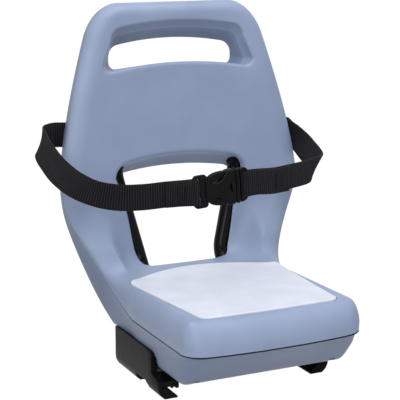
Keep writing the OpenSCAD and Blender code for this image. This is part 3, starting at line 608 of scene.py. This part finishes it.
def make_pad():
    """Thin pad in its recess: rings round its edge go down from its top."""
    rings = [(0, -0.5), (-0.2, -0.85), (-0.7, -1.1), (-1.6, -1.2)]
    loops = [pad_ring(g) for g, _ in rings]
    verts, faces, members, x, d, s = skin_mesh(FRONT_ROWS, loops, front_column, front_xd)
    faces = faces[inside(verts[faces].mean(1), verts[members[0]][:, :2])]
    top = d + rings[-1][1]
    for ring, (_, deep) in zip(members, rings):
        top[ring] = d[ring] + deep
    used = np.unique(faces)
    n = len(used)
    new = np.full(len(verts), -1)
    new[used] = np.arange(n)
    points = np.concatenate([place(x[used], s[used], deep[used]) for deep in (top, d + PAD_RECESS - 0.1)])
    up, ring = new[faces], new[members[0]]
    nxt = np.roll(ring, -1)
    return mesh_object("seat_pad_foam", points, [*up, *(up[:, ::-1] + n), *zip(ring, nxt, nxt + n, ring + n)])


# Copies of solids whose shape is right, with rounded edges
def from_node(name, wide, finish, slot):
    bm = bmesh.new()
    bm.from_mesh(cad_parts[name].data)
    bmesh.ops.remove_doubles(bm, verts=bm.verts, dist=2e-6)
    bmesh.ops.dissolve_limit(bm, angle_limit=math.radians(1), verts=bm.verts, edges=bm.edges)
    bmesh.ops.recalc_face_normals(bm, faces=bm.faces)
    me = bpy.data.meshes.new(name + "_piece")
    bm.to_mesh(me)
    bm.free()
    ob = linked(name + "_piece", me)
    m = ob.modifiers.new("rounded edges", "BEVEL")
    m.width, m.segments, m.limit_method, m.angle_limit = wide * MM, 3, "ANGLE", math.radians(28)
    m.use_clamp_overlap = True
    return finished(settle(ob), finish, slot, name)


# Top edge of a claw, in metres: its height, where it starts, its outer side, and how far it may rise
CLAW_TOP, CLAW_Z, CLAW_Y, CLAW_SIDE, SIDE_RISE, INNER_RISE = 0.05015, 0.048, -0.045, 0.1085, 0.0012, 0.006


def follow_shell(ob, shell):
    """Raises the rear of a claw's top edge to the underside of the shell, which curves up there."""
    with edited(ob.data) as bm:
        for y in np.arange(-44, 54, 4.0):
            bmesh.ops.bisect_plane(bm, geom=bm.verts[:] + bm.edges[:] + bm.faces[:], plane_co=(0, y * MM, 0),
                                   plane_no=(0, 1, 0))
        for v in bm.verts:
            if v.co.z > CLAW_Z and v.co.y > CLAW_Y:
                for x in (min(abs(v.co.x), 0.1095), 0.106):
                    hit, point, _, _ = shell.ray_cast((math.copysign(x, v.co.x), v.co.y, 0.046), (0, 0, 1))
                    if hit:
                        rise = SIDE_RISE if abs(v.co.x) > CLAW_SIDE else INNER_RISE
                        v.co.z += min(max(point.z - CLAW_TOP, 0), rise)
                        break


# Node trees: one function adds a node with its settings and inputs
def add(tree, kind, settings=None, inputs=None):
    node = tree.nodes.new(kind)
    for name, value in (settings or {}).items():
        setattr(node, name, value)
    for name, value in (inputs or {}).items():
        if isinstance(value, bpy.types.NodeSocket):
            tree.links.new(value, node.inputs[name])
        else:
            node.inputs[name].default_value = value
    return node


def maths(tree, operation, *values):
    return add(tree, "ShaderNodeMath", {"operation": operation}, dict(enumerate(values))).outputs[0]


def linear(colour):
    """An sRGB hex colour as linear values."""
    parts = [int(colour[i:i + 2], 16) / 255 for i in (1, 3, 5)]
    return [c / 12.92 if c <= 0.04045 else ((c + 0.055) / 1.055) ** 2.4 for c in parts] + [1]


def new_material(name, values=None):
    m = bpy.data.materials.new(name)
    m.use_nodes = True
    tree = m.node_tree
    tree.nodes.clear()
    shader = add(tree, "ShaderNodeBsdfPrincipled", {}, values)
    add(tree, "ShaderNodeOutputMaterial", {}, {"Surface": shader.outputs[0]})
    where = add(tree, "ShaderNodeTexCoord").outputs["Object"]
    return m, tree, shader, where


def between(tree, value, low, high, a, b):
    """value between low and high, as a number between a and b."""
    return add(tree, "ShaderNodeMapRange", {}, {0: value, 1: low, 2: high, 3: a, 4: b}).outputs[0]


def noise(tree, where, size, detail=3.0):
    """Noise whose spots are about size millimetres wide."""
    return add(tree, "ShaderNodeTexNoise", {}, {"Vector": where, "Scale": 1000 / size, "Detail": detail}).outputs[0]


def tinted(tree, value, a, b):
    return add(tree, "ShaderNodeMix", {"data_type": "RGBA"}, {0: value, 6: linear(a), 7: linear(b)}).outputs[2]


def relief(tree, shader, height, depth):
    bump = add(tree, "ShaderNodeBump", {}, {"Height": height, "Distance": depth * MM, "Strength": 1.0})
    tree.links.new(bump.outputs[0], shader.inputs["Normal"])


def surface(name, dark, light, clouds, grain, rough, depth=0.0, shine=0.5, spread=0.5, **more):
    """Two tones in clouds, and a grain that gives the roughness and, to a depth, the relief.
    clouds and grain are the size and the detail of a noise; spread is how far the tones run from its middle."""
    m, tree, shader, where = new_material(name, {"Specular IOR Level": shine, **more})
    tone, fine = noise(tree, where, *clouds), noise(tree, where, *grain)
    if spread < 0.5:
        tone = between(tree, tone, 0.5 - spread, 0.5 + spread, 0, 1)
    tree.links.new(tinted(tree, tone, dark, light), shader.inputs["Base Color"])
    tree.links.new(between(tree, fine, 0.3, 0.7, *rough), shader.inputs["Roughness"])
    if depth:
        relief(tree, shader, fine, depth)
    return m, tree, shader, where


def moulded(name, dark, light, rough, grain, depth, edge_highlight=0.0, clouds=60.0, shine=0.3):
    """Moulded plastic: cloudy tone, a fine spark-eroded grain and a painted highlight that makes its sharp edges a
    little paler.
    """
    m, tree, shader, _ = surface(name, dark, light, (clouds, 2), (grain, 2), (rough - 0.05, rough + 0.07), depth,
                                 shine, 0.15)
    if edge_highlight:
        # painted highlight: sharp edges, found by their pointiness, are mixed towards a pale blue-grey
        edges = between(tree, add(tree, "ShaderNodeNewGeometry").outputs["Pointiness"], 0.52, 0.6, 0, edge_highlight)
        colour = shader.inputs["Base Color"].links[0].from_socket
        pale = add(tree, "ShaderNodeMix", {"data_type": "RGBA"}, {0: edges, 6: colour, 7: linear("#c9d2e2")})
        tree.links.new(pale.outputs[2], shader.inputs["Base Color"])
    return m


def materials():
    out = {}
    # Blue-grey polypropylene: satin, with the fine grain of its mould and a painted highlight on its edges
    out["front"] = moulded("grained_blue_grey_polypropylene", "#808ea9", "#8694af", 0.42, 1.1, 0.02, 0.12)
    # The lower shell is the same plastic, coloured darker and a little greyer as painted shade, with a weaker painted
    # highlight on its edges
    out["rear"] = moulded("grained_grey_polypropylene", "#6e7b96", "#76839e", 0.44, 1.1, 0.02, 0.08)
    # Glass-filled nylon of the claws, with flow marks
    out["claw"] = moulded("black_glass_filled_nylon", "#0b0b0c", "#151415", 0.36, 0.9, 0.05, 0, 12, 0.05)
    out["jaw"] = moulded("charcoal_nylon", "#0e0e10", "#161618", 0.5, 0.9, 0.05, 0, 10, 0.05)
    # Acetal of the buckle: smoother, with broad soft highlights
    out["buckle"] = moulded("black_acetal", "#050506", "#0a090a", 0.22, 0.8, 0.01, 0, 9, 0.1)

    # Closed-cell foam with a smooth pale skin and shallow dimples
    broad, fine = (26, 2), (1.4, 3)
    m, tree, shader, where = surface("pale_skinned_foam", "#c5cad7", "#cdd2de", broad, fine, (0.5, 0.68), spread=0.2,
                                     **{"Sheen Weight": 0.1})
    both = maths(tree, "MULTIPLY_ADD", noise(tree, where, *broad), 0.4, noise(tree, where, *fine))
    relief(tree, shader, both, 0.05)
    out["pad"] = m

    # Stoved black paint: a clear glossy coat with slight orange peel
    out["tube"] = surface("glossy_black_stoved_paint", "#050505", "#0a0a0b", (40, 2), (3.5, 1), (0.15, 0.2), 0.006,
                          0.1)[0]
    # Satin black paint on pressed steel
    m, tree, shader, where = surface("satin_black_paint_on_steel", "#1c1c1f", "#2a2a2e", (15, 3), (2, 2), (0.35, 0.5))
    relief(tree, shader, noise(tree, where, 1.5, 2), 0.02)
    out["strap"] = m
    # Zinc plate: bright, with a faint blotchy chromate and turning marks
    out["zinc"] = surface("bright_zinc_plate", "#9a9ca0", "#b4b5b4", (3, 3), (0.8, 2), (0.28, 0.45), 0.01,
                          Metallic=1.0)[0]
    # Bonded nylon thread, a little paler and shinier than the webbing
    out["thread"] = surface("black_bonded_thread", "#060606", "#0c0b0c", (1, 2), (0.8, 1), (0.35, 0.5), 0, 0.2)[0]

    # Polyester webbing: warp threads run along it, crossed by the ribs that are modelled
    m, tree, shader, where = new_material("ribbed_black_polyester_webbing", {"Specular IOR Level": 0.12})
    along, across = [add(tree, "ShaderNodeAttribute", {"attribute_name": name}).outputs["Fac"]
                     for name in ("along", "across")]
    # Real warp threads lie 0.4 mm apart; 1 mm is used, so that they still show at the size of the picture
    warp = maths(tree, "SINE", maths(tree, "MULTIPLY", across, WEB_W / 2 * 2 * math.pi))
    rib = maths(tree, "SINE", maths(tree, "MULTIPLY", along, 2 * math.pi / RIB))
    weave_relief_and_shade = maths(tree, "MULTIPLY_ADD", warp, 0.25, rib)
    # painted light: the tone follows the rib and warp waves, paler on their crests as painted highlight and darker in
    # their valleys as painted shade; the same waves also give the real relief
    tree.links.new(tinted(tree, between(tree, weave_relief_and_shade, -1, 1.2, 0, 1), "#040405", "#262428"), shader.inputs["Base Color"])
    tree.links.new(between(tree, noise(tree, where, 2, 3), 0.3, 0.7, 0.5, 0.7), shader.inputs["Roughness"])
    relief(tree, shader, weave_relief_and_shade, 0.3)
    out["web"] = m
    return out


# Geometry trees
def geometry_tree(name, inputs):
    tree = bpy.data.node_groups.new(name, "GeometryNodeTree")
    tree.interface.new_socket("Geometry", in_out="INPUT", socket_type="NodeSocketGeometry")
    for label, kind in inputs.items():
        tree.interface.new_socket(label, in_out="INPUT", socket_type="NodeSocket" + kind)
    tree.interface.new_socket("Geometry", in_out="OUTPUT", socket_type="NodeSocketGeometry")
    return tree, add(tree, "NodeGroupInput").outputs


def made_by(ob, tree, values):
    """Runs a geometry tree on a piece with its inputs set, and keeps the mesh that it makes."""
    m = ob.modifiers.new(tree.name, "NODES")
    m.node_group = tree
    for item in tree.interface.items_tree:
        if item.in_out == "INPUT" and item.name in values:
            m[item.identifier] = values[item.name]
    return settle(ob)


def named(tree, kind, name):
    return add(tree, "GeometryNodeInputNamedAttribute", {"data_type": kind}, {"Name": name}).outputs[0]


def given_out(tree, geometry, finish):
    """Ends a tree: its geometry made real, with its finish."""
    real = add(tree, "GeometryNodeRealizeInstances", {}, {0: geometry}).outputs[0]
    done = add(tree, "GeometryNodeSetMaterial", {}, {"Geometry": real, "Material": finish}).outputs[0]
    add(tree, "NodeGroupOutput", {}, {0: done})
    return tree


def rib_tree():
    """Raises the ribs that cross the webbing, along its normals, and leaves the selvedges smooth."""
    tree, given = geometry_tree("webbing_ribs", {"Pitch": "Float", "Height": "Float", "Finish": "Material"})
    turns = maths(tree, "DIVIDE", named(tree, "FLOAT", "along"), given["Pitch"])
    wave = maths(tree, "SINE", maths(tree, "MULTIPLY", turns, 2 * math.pi))
    middle = maths(tree, "LESS_THAN", maths(tree, "ABSOLUTE", named(tree, "FLOAT", "across")), 0.96)
    high = maths(tree, "MULTIPLY", maths(tree, "MULTIPLY", wave, middle), given["Height"])
    move = add(tree, "ShaderNodeVectorMath", {"operation": "SCALE"},
               {0: add(tree, "GeometryNodeInputNormal").outputs[0], "Scale": high}).outputs[0]
    moved = add(tree, "GeometryNodeSetPosition", {}, {"Geometry": given["Geometry"], "Offset": move}).outputs[0]
    return given_out(tree, moved, given["Finish"])


def placing_tree():
    """Puts a copy of a piece on every point, its X along the point's run and its Z along the point's rise."""
    tree, given = geometry_tree("placed_copies", {"Piece": "Object", "Finish": "Material"})
    turn = add(tree, "FunctionNodeAxesToRotation", {"primary_axis": "Z", "secondary_axis": "X"},
               {0: named(tree, "FLOAT_VECTOR", "rise"), 1: named(tree, "FLOAT_VECTOR", "run")}).outputs[0]
    piece = add(tree, "GeometryNodeObjectInfo", {}, {"Object": given["Piece"]}).outputs["Geometry"]
    points = add(tree, "GeometryNodeMeshToPoints", {}, {0: given["Geometry"]}).outputs[0]
    placed = add(tree, "GeometryNodeInstanceOnPoints", {},
                 {"Points": points, "Instance": piece, "Rotation": turn}).outputs[0]
    return given_out(tree, placed, given["Finish"])


def copies(name, model, places, finish):
    """places: (point in millimetres, run, rise) for every copy of the model."""
    ob = mesh_object(name, [np.array(p) * MM for p, _, _ in places], [])
    for label, k in (("run", 1), ("rise", 2)):
        data = ob.data.attributes.new(label, "FLOAT_VECTOR", "POINT").data
        data.foreach_set("vector", np.array([q[k] for q in places], np.float32).ravel())
    made_by(ob, COPIES, {"Piece": model, "Finish": FINISH[finish]})
    bpy.data.objects.remove(model)
    return ob


# Lap belt
WEB_W, WEB_T, RIB, BELT_Y, BUCKLE_Z, BUCKLE_TILT, KEEPER_Z = 30.0, 1.8, 2.9, 96.0, 232.0, 4.4, 268.0
LEFT_RUN = [(-88, 92.9, 229.8), (-62, 93.1, 229), (-54, 93, 228.4), (-50.5, 92.5, 228.2), (-47.4, 93.1, 228),
            (-46.4, 96, 228), (-47.4, 98.9, 228), (-50.5, 99.5, 228.2), (-54, 98.8, 228.5), (-62, 95.8, 229.2),
            (-85, 95.2, 229.6), (-115, 97, 228.8), (-138, 104, 229), (-160, 116, 232.5), (-177, 135, 240),
            (-188, 160, 251), (-191.5, 190, 263), (-190, 215, 270), (-183, 238, 274.5), (-171, 256, 276),
            (-158, 265, 276.3)]
RIGHT_RUN = [(74, 102.6, 232.4), (50, 97.2, 232.2), (27, 93.8, 233.9), (18, 92.8, 233.6), (14.5, 92.5, 233.2),
             (11.4, 93.1, 233), (10.4, 96, 233), (11.4, 98.9, 233), (14.5, 99.5, 233.2), (18, 98.9, 233.6),
             (27, 96.4, 234.2), (50, 99.6, 233), (80, 106.8, 234), (108, 120, 234), (130, 138, 234), (146, 160, 234),
             (156.5, 184, 236), (162.5, 210, 241), (165, 232, 248), (163, 250, 256), (157, 264, 263)]


# Half widths at which a strap lies on the back, and how far the left one stands above its keeper there
ON_BACK, LEFT_RISE = np.array([142.0, 120, 95, 70, 55, 35]), np.array([7.5, 5, 2, 0, 0, 0])


def lengths(path):
    """Length of a path up to each of its points."""
    return np.concatenate([[0], np.cumsum(np.linalg.norm(np.diff(path, axis=0), axis=1))])


def belt_line(run, side):
    """Points every 0.45 mm along the middle of a strap, with its half width and half thickness vectors."""
    x, s = side * ON_BACK, station(KEEPER_Z + LEFT_RISE * (side < 0))
    run = np.concatenate([np.array(run) - (0, MID, 0), place(x, s, rear_depth(x, s) + WEB_T / 2 + 0.4) / MM])
    chord = lengths(run)
    slope = np.gradient(run, chord, axis=0)
    q = np.arange(0, chord[-1], 0.1)
    k = np.clip(np.searchsorted(chord, q, "right") - 1, 0, len(run) - 2)
    h = (chord[k + 1] - chord[k])[:, None]
    t = (q - chord[k])[:, None] / h
    fine = ((2 * t**3 - 3 * t**2 + 1) * run[k] + (t**3 - 2 * t**2 + t) * h * slope[k]
            + (3 * t**2 - 2 * t**3) * run[k + 1] + (t**3 - t**2) * h * slope[k + 1])
    length = lengths(fine)
    along = np.arange(0, length[-1], 0.45)
    p = np.stack([np.interp(along, length, fine[:, i]) for i in range(3)], 1)
    t = unit(np.gradient(p, axis=0))
    x, y = p[:, 0], p[:, 1] + MID
    # how far each loop's upper edge leans out, the rear's slope behind the back, and the buckle's tilt
    lean = 0.55 * ease((-x - 160) / 30) * (1 - ease((y - 220) / 40))
    lean += 0.6 * ease((x - 110) / 40) * (1 - ease((y - 215) / 45))
    w, s = np.minimum(np.abs(x), WAIST_W / 2 - 14), np.full(len(p), station(KEEPER_Z))
    slope = (rear_depth(w, s + 1) - rear_depth(w, s)) * ease((y - 225) / 30)
    tilt = -math.tan(math.radians(BUCKLE_TILT)) * (1 - ease((np.abs(x + 18) - 36) / 20))
    out = unit(np.stack([t[:, 1], -t[:, 0], 0 * y], 1)) * np.where(side * t[:, 0] + t[:, 1] > 0, 1, -1)[:, None]
    up = np.stack([tilt, slope, np.ones(len(p))], 1) + out * lean[:, None]
    up = unit(up - (up * t).sum(1)[:, None] * t) * WEB_W / 2
    return along, p, up, unit(np.cross(t, up)) * WEB_T / 2, t


# Section of the webbing, in half widths and half thicknesses
SECTION = np.array([(-1, 0), (-0.99, 0.7), (-0.95, 1), (-0.5, 1), (0, 1), (0.5, 1), (0.95, 1), (0.99, 0.7)])
SECTION = np.concatenate([SECTION, -SECTION])


def make_strap(name, line):
    along, p, up, thick, _ = line
    m, n = len(p), len(SECTION)
    points = p[:, None] + SECTION[None, :, :1] * up[:, None] + SECTION[None, :, 1:] * 0.85 * thick[:, None]
    ob = mesh_object(name, points.reshape(-1, 3) * MM, ring_faces(n, m))
    for label, values in (("along", np.repeat(along, n)), ("across", np.tile(SECTION[:, 0], m))):
        ob.data.attributes.new(label, "FLOAT", "POINT").data.foreach_set("value", values.astype(np.float32))
    return made_by(ob, RIBS, {"Pitch": RIB, "Height": 0.3 * MM, "Finish": FINISH["web"]})


def stitches(line, middle):
    """Places of the stitches of a sewn box with a cross, on the side of a strap that faces forward."""
    along, p, up, thick, t = line
    out = []
    a, b = 6.5, 0.62  # half length in millimetres, and half width as a share of the webbing's
    corners = [(-a, -b), (a, -b), (a, b), (-a, b), (-a, -b), (a, b), (a, -b), (-a, b)]
    for (a0, b0), (a1, b1) in zip(corners, corners[1:]):
        size = math.hypot(a1 - a0, (b1 - b0) * WEB_W / 2)
        n = max(2, round(size / 3.1))
        for k in range(n):
            f = (k + 0.5) / n
            i = int(np.argmin(np.abs(along - (middle + lerp(a0, a1, f)))))
            side = -1 if thick[i][1] > 0 else 1
            run, face = unit((a1 - a0) * t[i] + (b1 - b0) * up[i]), side * thick[i]
            out.append((p[i] + lerp(b0, b1, f) * up[i] + face, run, face))
    return out


def make_stitch():
    """One stitch: a short plump thread that dips in at both ends."""
    x = np.linspace(-1.25, 1.25, 9)
    z = 0.3 - 0.55 * (x / 1.25) ** 4
    return rod("stitch", np.stack([x, 0 * x, z], 1), 0.45, 8)


def make_screw(head, high, shank, length):
    """A pan-head screw with a cross recess, its head resting at zero and rising along Z."""
    profile = [(shank * 0.6, -length), (shank, -length + 1), (shank, 0), (head, 0), (head, high * 0.45),
               (head * 0.93, high * 0.72), (head * 0.75, high * 0.92), (head * 0.4, high)]
    a = np.linspace(0, 2 * math.pi, 32, endpoint=False)
    verts = np.array([(r * math.cos(q), r * math.sin(q), z) for r, z in profile for q in a])
    ob = mesh_object("screw", verts * MM, ring_faces(len(a), len(profile)))
    for w, l in ((0.5, 2.2), (2.2, 0.5)):
        cut(ob, prism("recess", [(-w, -l), (w, -l), (w, l), (-w, l)], 2, high - 1.6, high + 2))
    return ob


# Shares of a rounded edge at which its rings lie
EDGE_RINGS = (0, 0.06, 0.22, 0.5, 0.95)


# Buckle: rounded slabs, drawn flat with X along the buckle and Z up, front at -Y
def pillow(outline, height, holes=(), edge=1.0, step=1.3, mid=0.0):
    """Slab on an outline, height(x, z) thick each way, with its edges rounded by edge."""
    base = [filled(np.array(loop, float), 0.8) for loop in (outline, *holes)]
    rings = []
    for k, loop in enumerate(base):
        nxt = np.roll(loop, -1, 0)
        if ((loop[:, 0] * nxt[:, 1] - nxt[:, 0] * loop[:, 1]).sum() < 0) == (k == 0):
            base[k] = loop = loop[::-1]
        t = np.roll(loop, -1, 0) - np.roll(loop, 1, 0)
        rings += [loop + unit(np.stack([-t[:, 1], t[:, 0]], 1)) * edge * f for f in EDGE_RINGS]
    a = np.concatenate(base)
    d = np.concatenate([np.roll(loop, -1, 0) - loop for loop in base])

    def gap(points):
        f = np.clip(((points[:, None] - a) * d).sum(2) / (d * d).sum(1), 0, 1)
        return np.linalg.norm(points[:, None] - a - f[..., None] * d, axis=2).min(1)

    def within(points):
        ok = inside(points, base[0])
        for loop in base[1:]:
            ok &= ~inside(points, loop)
        return ok

    low, high = base[0].min(0), base[0].max(0)
    grid = np.meshgrid(*(np.arange(low[i], high[i], step) for i in (0, 1)))
    grid = np.stack(grid, -1).reshape(-1, 2)
    grid = grid[within(grid)]
    verts, faces, members = triangulated(rings, grid[gap(grid) > edge + 0.25], 1e-5)
    faces = faces[within(verts[faces].mean(1))]
    near = np.clip(edge - gap(verts), 0, edge)
    tall = height(*verts.T) - (edge - np.sqrt(np.maximum(edge**2 - near**2, 0)))
    n = len(verts)
    points = np.concatenate([np.stack([verts[:, 0], mid + k * tall, verts[:, 1]], 1) for k in (-1, 1)])
    every = [*faces, *(faces[:, ::-1] + n)]
    for r in members[::len(EDGE_RINGS)]:
        last = np.roll(r, 1)
        every += zip(last, r, r + n, last + n)
    used = sorted({i for f in every for i in f})
    new = {i: k for k, i in enumerate(used)}
    return mesh_object("slab", points[used] * MM, [tuple(new[i] for i in f) for f in every])


def flat(h):
    return lambda x, z: np.full(len(x), float(h))


def soft_box(x0, x1, z0, z1, r, r_low=None):
    """Rounded rectangle; r_low is the radius of its lower right corner."""
    q = r_low or r
    corners = ((x1 - r, z1 - r, r, 0), (x0 + r, z1 - r, r, 90), (x0 + r, z0 + r, r, 180), (x1 - q, z0 + q, q, 270))
    return [(x + r * math.cos(f), z + r * math.sin(f)) for x, z, r, a in corners
            for f in np.radians(a + np.linspace(0, 90, 7))]


def scallop(x0, z0, xm, zm, x1, z1):
    """Points on the arc through three points."""
    f = np.linspace(0, 1, 15)
    m = (xm - x0) / (x1 - x0)
    bend = (zm - lerp(z0, z1, m)) / (m * (1 - m))
    return [(lerp(x0, x1, t), lerp(z0, z1, t) + bend * t * (1 - t)) for t in f]


def make_socket():
    slot = [(-49, -15.6), (-44.4, -15.6), (-44.2, -9), (-45.6, 0), (-46, 15.6), (-49, 15.6)]
    bar = pillow(soft_box(-53, -35.5, -19.2, 19.2, 4.5), flat(2.3), [slot], 0.9)
    end = [(-11.2, 19.9), (-9, 20.3), (-3.4, 20.3), (-1.9, 19.4), (-1.5, 17)]
    outline = [(-39, 11), (-38.6, 13.4)] + scallop(-37.5, 14.2, -26, 7.8, -12.8, 18.8) + end
    outline += [(x, -z) for x, z in end[::-1]] + scallop(-37.5, -14.2, -26, -9.6, -12.8, -18.8)[::-1]
    outline += [(-38.6, -13.4), (-39, -11)]
    body = pillow(outline, lambda x, z: 6.6 - 2.6 * ((x + 14) / 26) ** 2 - 0.9 * (z / 20) ** 2, (), 1.5)
    eye = [(-8.2, 4.6), (-10.4, 3.6), (-11.2, 0), (-10.4, -3.6), (-8.2, -4.6), (-6.5, -4.8), (-6.5, 4.8)]
    cut(body, pillow([(x, z + 0.3) for x, z in eye], flat(2.6), (), 0.3, mid=-7.6))
    a = np.linspace(0, 2 * math.pi, 28, endpoint=False)
    bump = pillow(np.stack([-5.6 + 1.9 * np.cos(a), 0.5 + 6 * np.sin(a)], 1),
                  lambda x, z: 8.4 - 0.9 * ((z - 0.5) / 6) ** 2 - 0.5 * ((x + 5.6) / 1.9) ** 2, (), 1.2, 0.8)
    return joined("buckle_socket_moulding", [bar, body, bump])


def make_plug():
    slot = soft_box(9.2, 12.9, -15.8, 15.8, 1.2)
    parts = [pillow(soft_box(-2, 16, -20, 19.6, 4, 8), flat(2.1), [slot[::-1]], 0.9),
             pillow(soft_box(-1.2, 3.6, -20.2, 19.9, 2.2), lambda x, z: 6.2 - 0.9 * (z / 20) ** 2, (), 1.5),
             pillow(soft_box(5.2, 9.0, -19.8, 19.6, 1.8), lambda x, z: 4.6 - 0.6 * (z / 20) ** 2, (), 1.4)]
    arm = [(-36.6, 10.2), (-35.6, 13.6), (-32.5, 16.4), (-28, 18.4), (-22, 19.5), (-16, 19.8), (-8, 19.2),
           (-8, 13), (-16, 12.2), (-24, 10.2), (-31, 8), (-35.6, 7.4)]
    parts += [pillow([(x, side * z) for x, z in arm], flat(3.6), (), 1.3) for side in (-1, 1)]
    return joined("buckle_plug_moulding", parts)


def buckled(ob):
    """Turns a flat-drawn buckle half to its place on the belt."""
    a = math.radians(BUCKLE_TILT)
    co = points_of(ob)
    x, z = co[:, 0] * math.cos(a) - co[:, 2] * math.sin(a), co[:, 0] * math.sin(a) + co[:, 2] * math.cos(a)
    move_to(ob, np.stack([x, co[:, 1] + (BELT_Y - MID) * MM, z + BUCKLE_Z * MM], 1))
    ob.data.update()
    return ob


# The pieces, their finishes and their places
FINISH = materials()
RIBS, COPIES = rib_tree(), placing_tree()

finished(make_front(), "front", "shell_front_plastic", "front_shell")
rear = finished(make_rear(), "rear", "shell_rear_plastic", "rear_shell")
pad = finished(make_pad(), "pad", "pad_foam", "seat_pad")

tube = rod("bent_frame_tube", TUBE_PATH, TUBE_R, 56)
finished(cut(tube, bolt_holes(3.2, 70)), "tube", "tube_paint", "frame_tube")

left, right = belt_line(LEFT_RUN, -1), belt_line(RIGHT_RUN, 1)
for node, line in (("lap_belt_left", left), ("lap_belt_right", right)):
    finished(make_strap(node + "_webbing", line), "web", "webbing", node, angle=60)
sewn = stitches(left, 17.0) + stitches(right, 14.5)
finished(copies("belt_stitches", make_stitch(), sewn, "thread"), "thread", "webbing", angle=60)

finished(buckled(make_socket()), "buckle", "buckle_plastic", "buckle_socket", angle=50)
finished(buckled(make_plug()), "buckle", "buckle_plastic", "buckle_plug", angle=50)

shell_screws = [(p, (1, 0, 0), v) for p, v in screw_places()]
finished(copies("shell_screw_set", make_screw(4, 2.8, 2, 15), shell_screws, "zinc"), "zinc", "bolt_steel",
         "shell_screws")

for finish, slot, wide_edges in (
        ("claw", "claw_plastic", {"claw_left": 0.9, "claw_right": 0.9}),
        ("jaw", "jaw_plastic", {"jaw_left": 0.35, "jaw_right": 0.35}),
        ("strap", "strap_steel", {"front_cross_strap": 0.5, "rear_cross_strap": 0.5, "belt_keepers": 0.4}),
        ("zinc", "bolt_steel", {"keeper_screws": 0.3, "clamp_bolts": 0.35, "clamp_nuts": 0.3, "tube_bolts": 0.35,
                                "tube_nuts": 0.3})):
    for node, wide in wide_edges.items():
        piece = from_node(node, wide, finish, slot)
        if finish == "claw":
            follow_shell(piece, rear)


# Stage: pale floor, white surroundings, a large soft lamp and a weaker one
def background_rays(tree):
    """1 for the rays that show the background: the camera's, and those that shine off or pass through a piece."""
    seen = add(tree, "ShaderNodeLightPath").outputs
    shown = maths(tree, "MAXIMUM", seen["Is Camera Ray"], seen["Is Glossy Ray"])
    return maths(tree, "MAXIMUM", shown, seen["Is Transmission Ray"])


def lamp(name, at, to, wide, high, power):
    data = bpy.data.lights.new(name, "AREA")
    data.shape, data.size, data.size_y, data.energy = "RECTANGLE", wide, high, power
    ob = linked(name, data)
    ob.location = at
    ob.rotation_euler = (Vector(to) - Vector(at)).to_track_quat("-Z", "Y").to_euler()


lamp("top lamp", (-0.1, -0.5, 2.4), (0, 0, 0.2), 2.2, 2.2, 58)
lamp("front lamp", (-1.3, -2.1, 1.2), (0, 0, 0.2), 1.4, 1.6, 33)

floor = mesh_object("floor", [(-8, -8, 0), (8, -8, 0), (8, 14, 0), (-8, 14, 0)], [(0, 1, 2, 3)])
paper, tree, shader, where = new_material("pale_paper_floor", {"Roughness": 0.9, "Specular IOR Level": 0.1})
tree.links.new(tinted(tree, noise(tree, where, 4, 2), "#b8b8b8", "#bcbcbc"), shader.inputs["Base Color"])
# The camera sees the paper burnt out to white, apart from the soft shadow
burnt = maths(tree, "MULTIPLY", background_rays(tree), 0.9)
white = add(tree, "ShaderNodeEmission", {}, {"Color": linear("#ffffff"), "Strength": 1.1}).outputs[0]
both = add(tree, "ShaderNodeMixShader", {}, {0: burnt, 1: shader.outputs[0], 2: white}).outputs[0]
tree.links.new(both, tree.nodes["Material Output"].inputs["Surface"])
floor.data.materials.append(paper)

scene = bpy.context.scene
world = scene.world = bpy.data.worlds.new("white surroundings")
world.use_nodes = True
tree = world.node_tree
tree.nodes.clear()
plain = add(tree, "ShaderNodeMix", {"data_type": "FLOAT"}, {0: background_rays(tree), 2: 0.3, 3: 1.0}).outputs[0]
sky = add(tree, "ShaderNodeBackground", {}, {"Color": linear("#ffffff"), "Strength": plain})
add(tree, "ShaderNodeOutputWorld", {}, {"Surface": sky.outputs[0]})
scene.view_settings.view_transform = "Standard"

# Camera fitted to the photo: focal length and picture width in pixels, turn and tilt in degrees
FOCAL, PICTURE, SENSOR, TURN, TILT = 1280.13, 400, 36, -25.67, -12.46
camera = linked("camera", bpy.data.cameras.new("camera"))
camera.data.sensor_width, camera.data.lens, camera.data.clip_end = SENSOR, FOCAL / PICTURE * SENSOR, 60
camera.location = (-0.65748, -1.31898, 0.53175)
camera.rotation_euler = (math.pi / 2 + math.radians(TILT), 0, math.radians(TURN))
scene.camera = camera
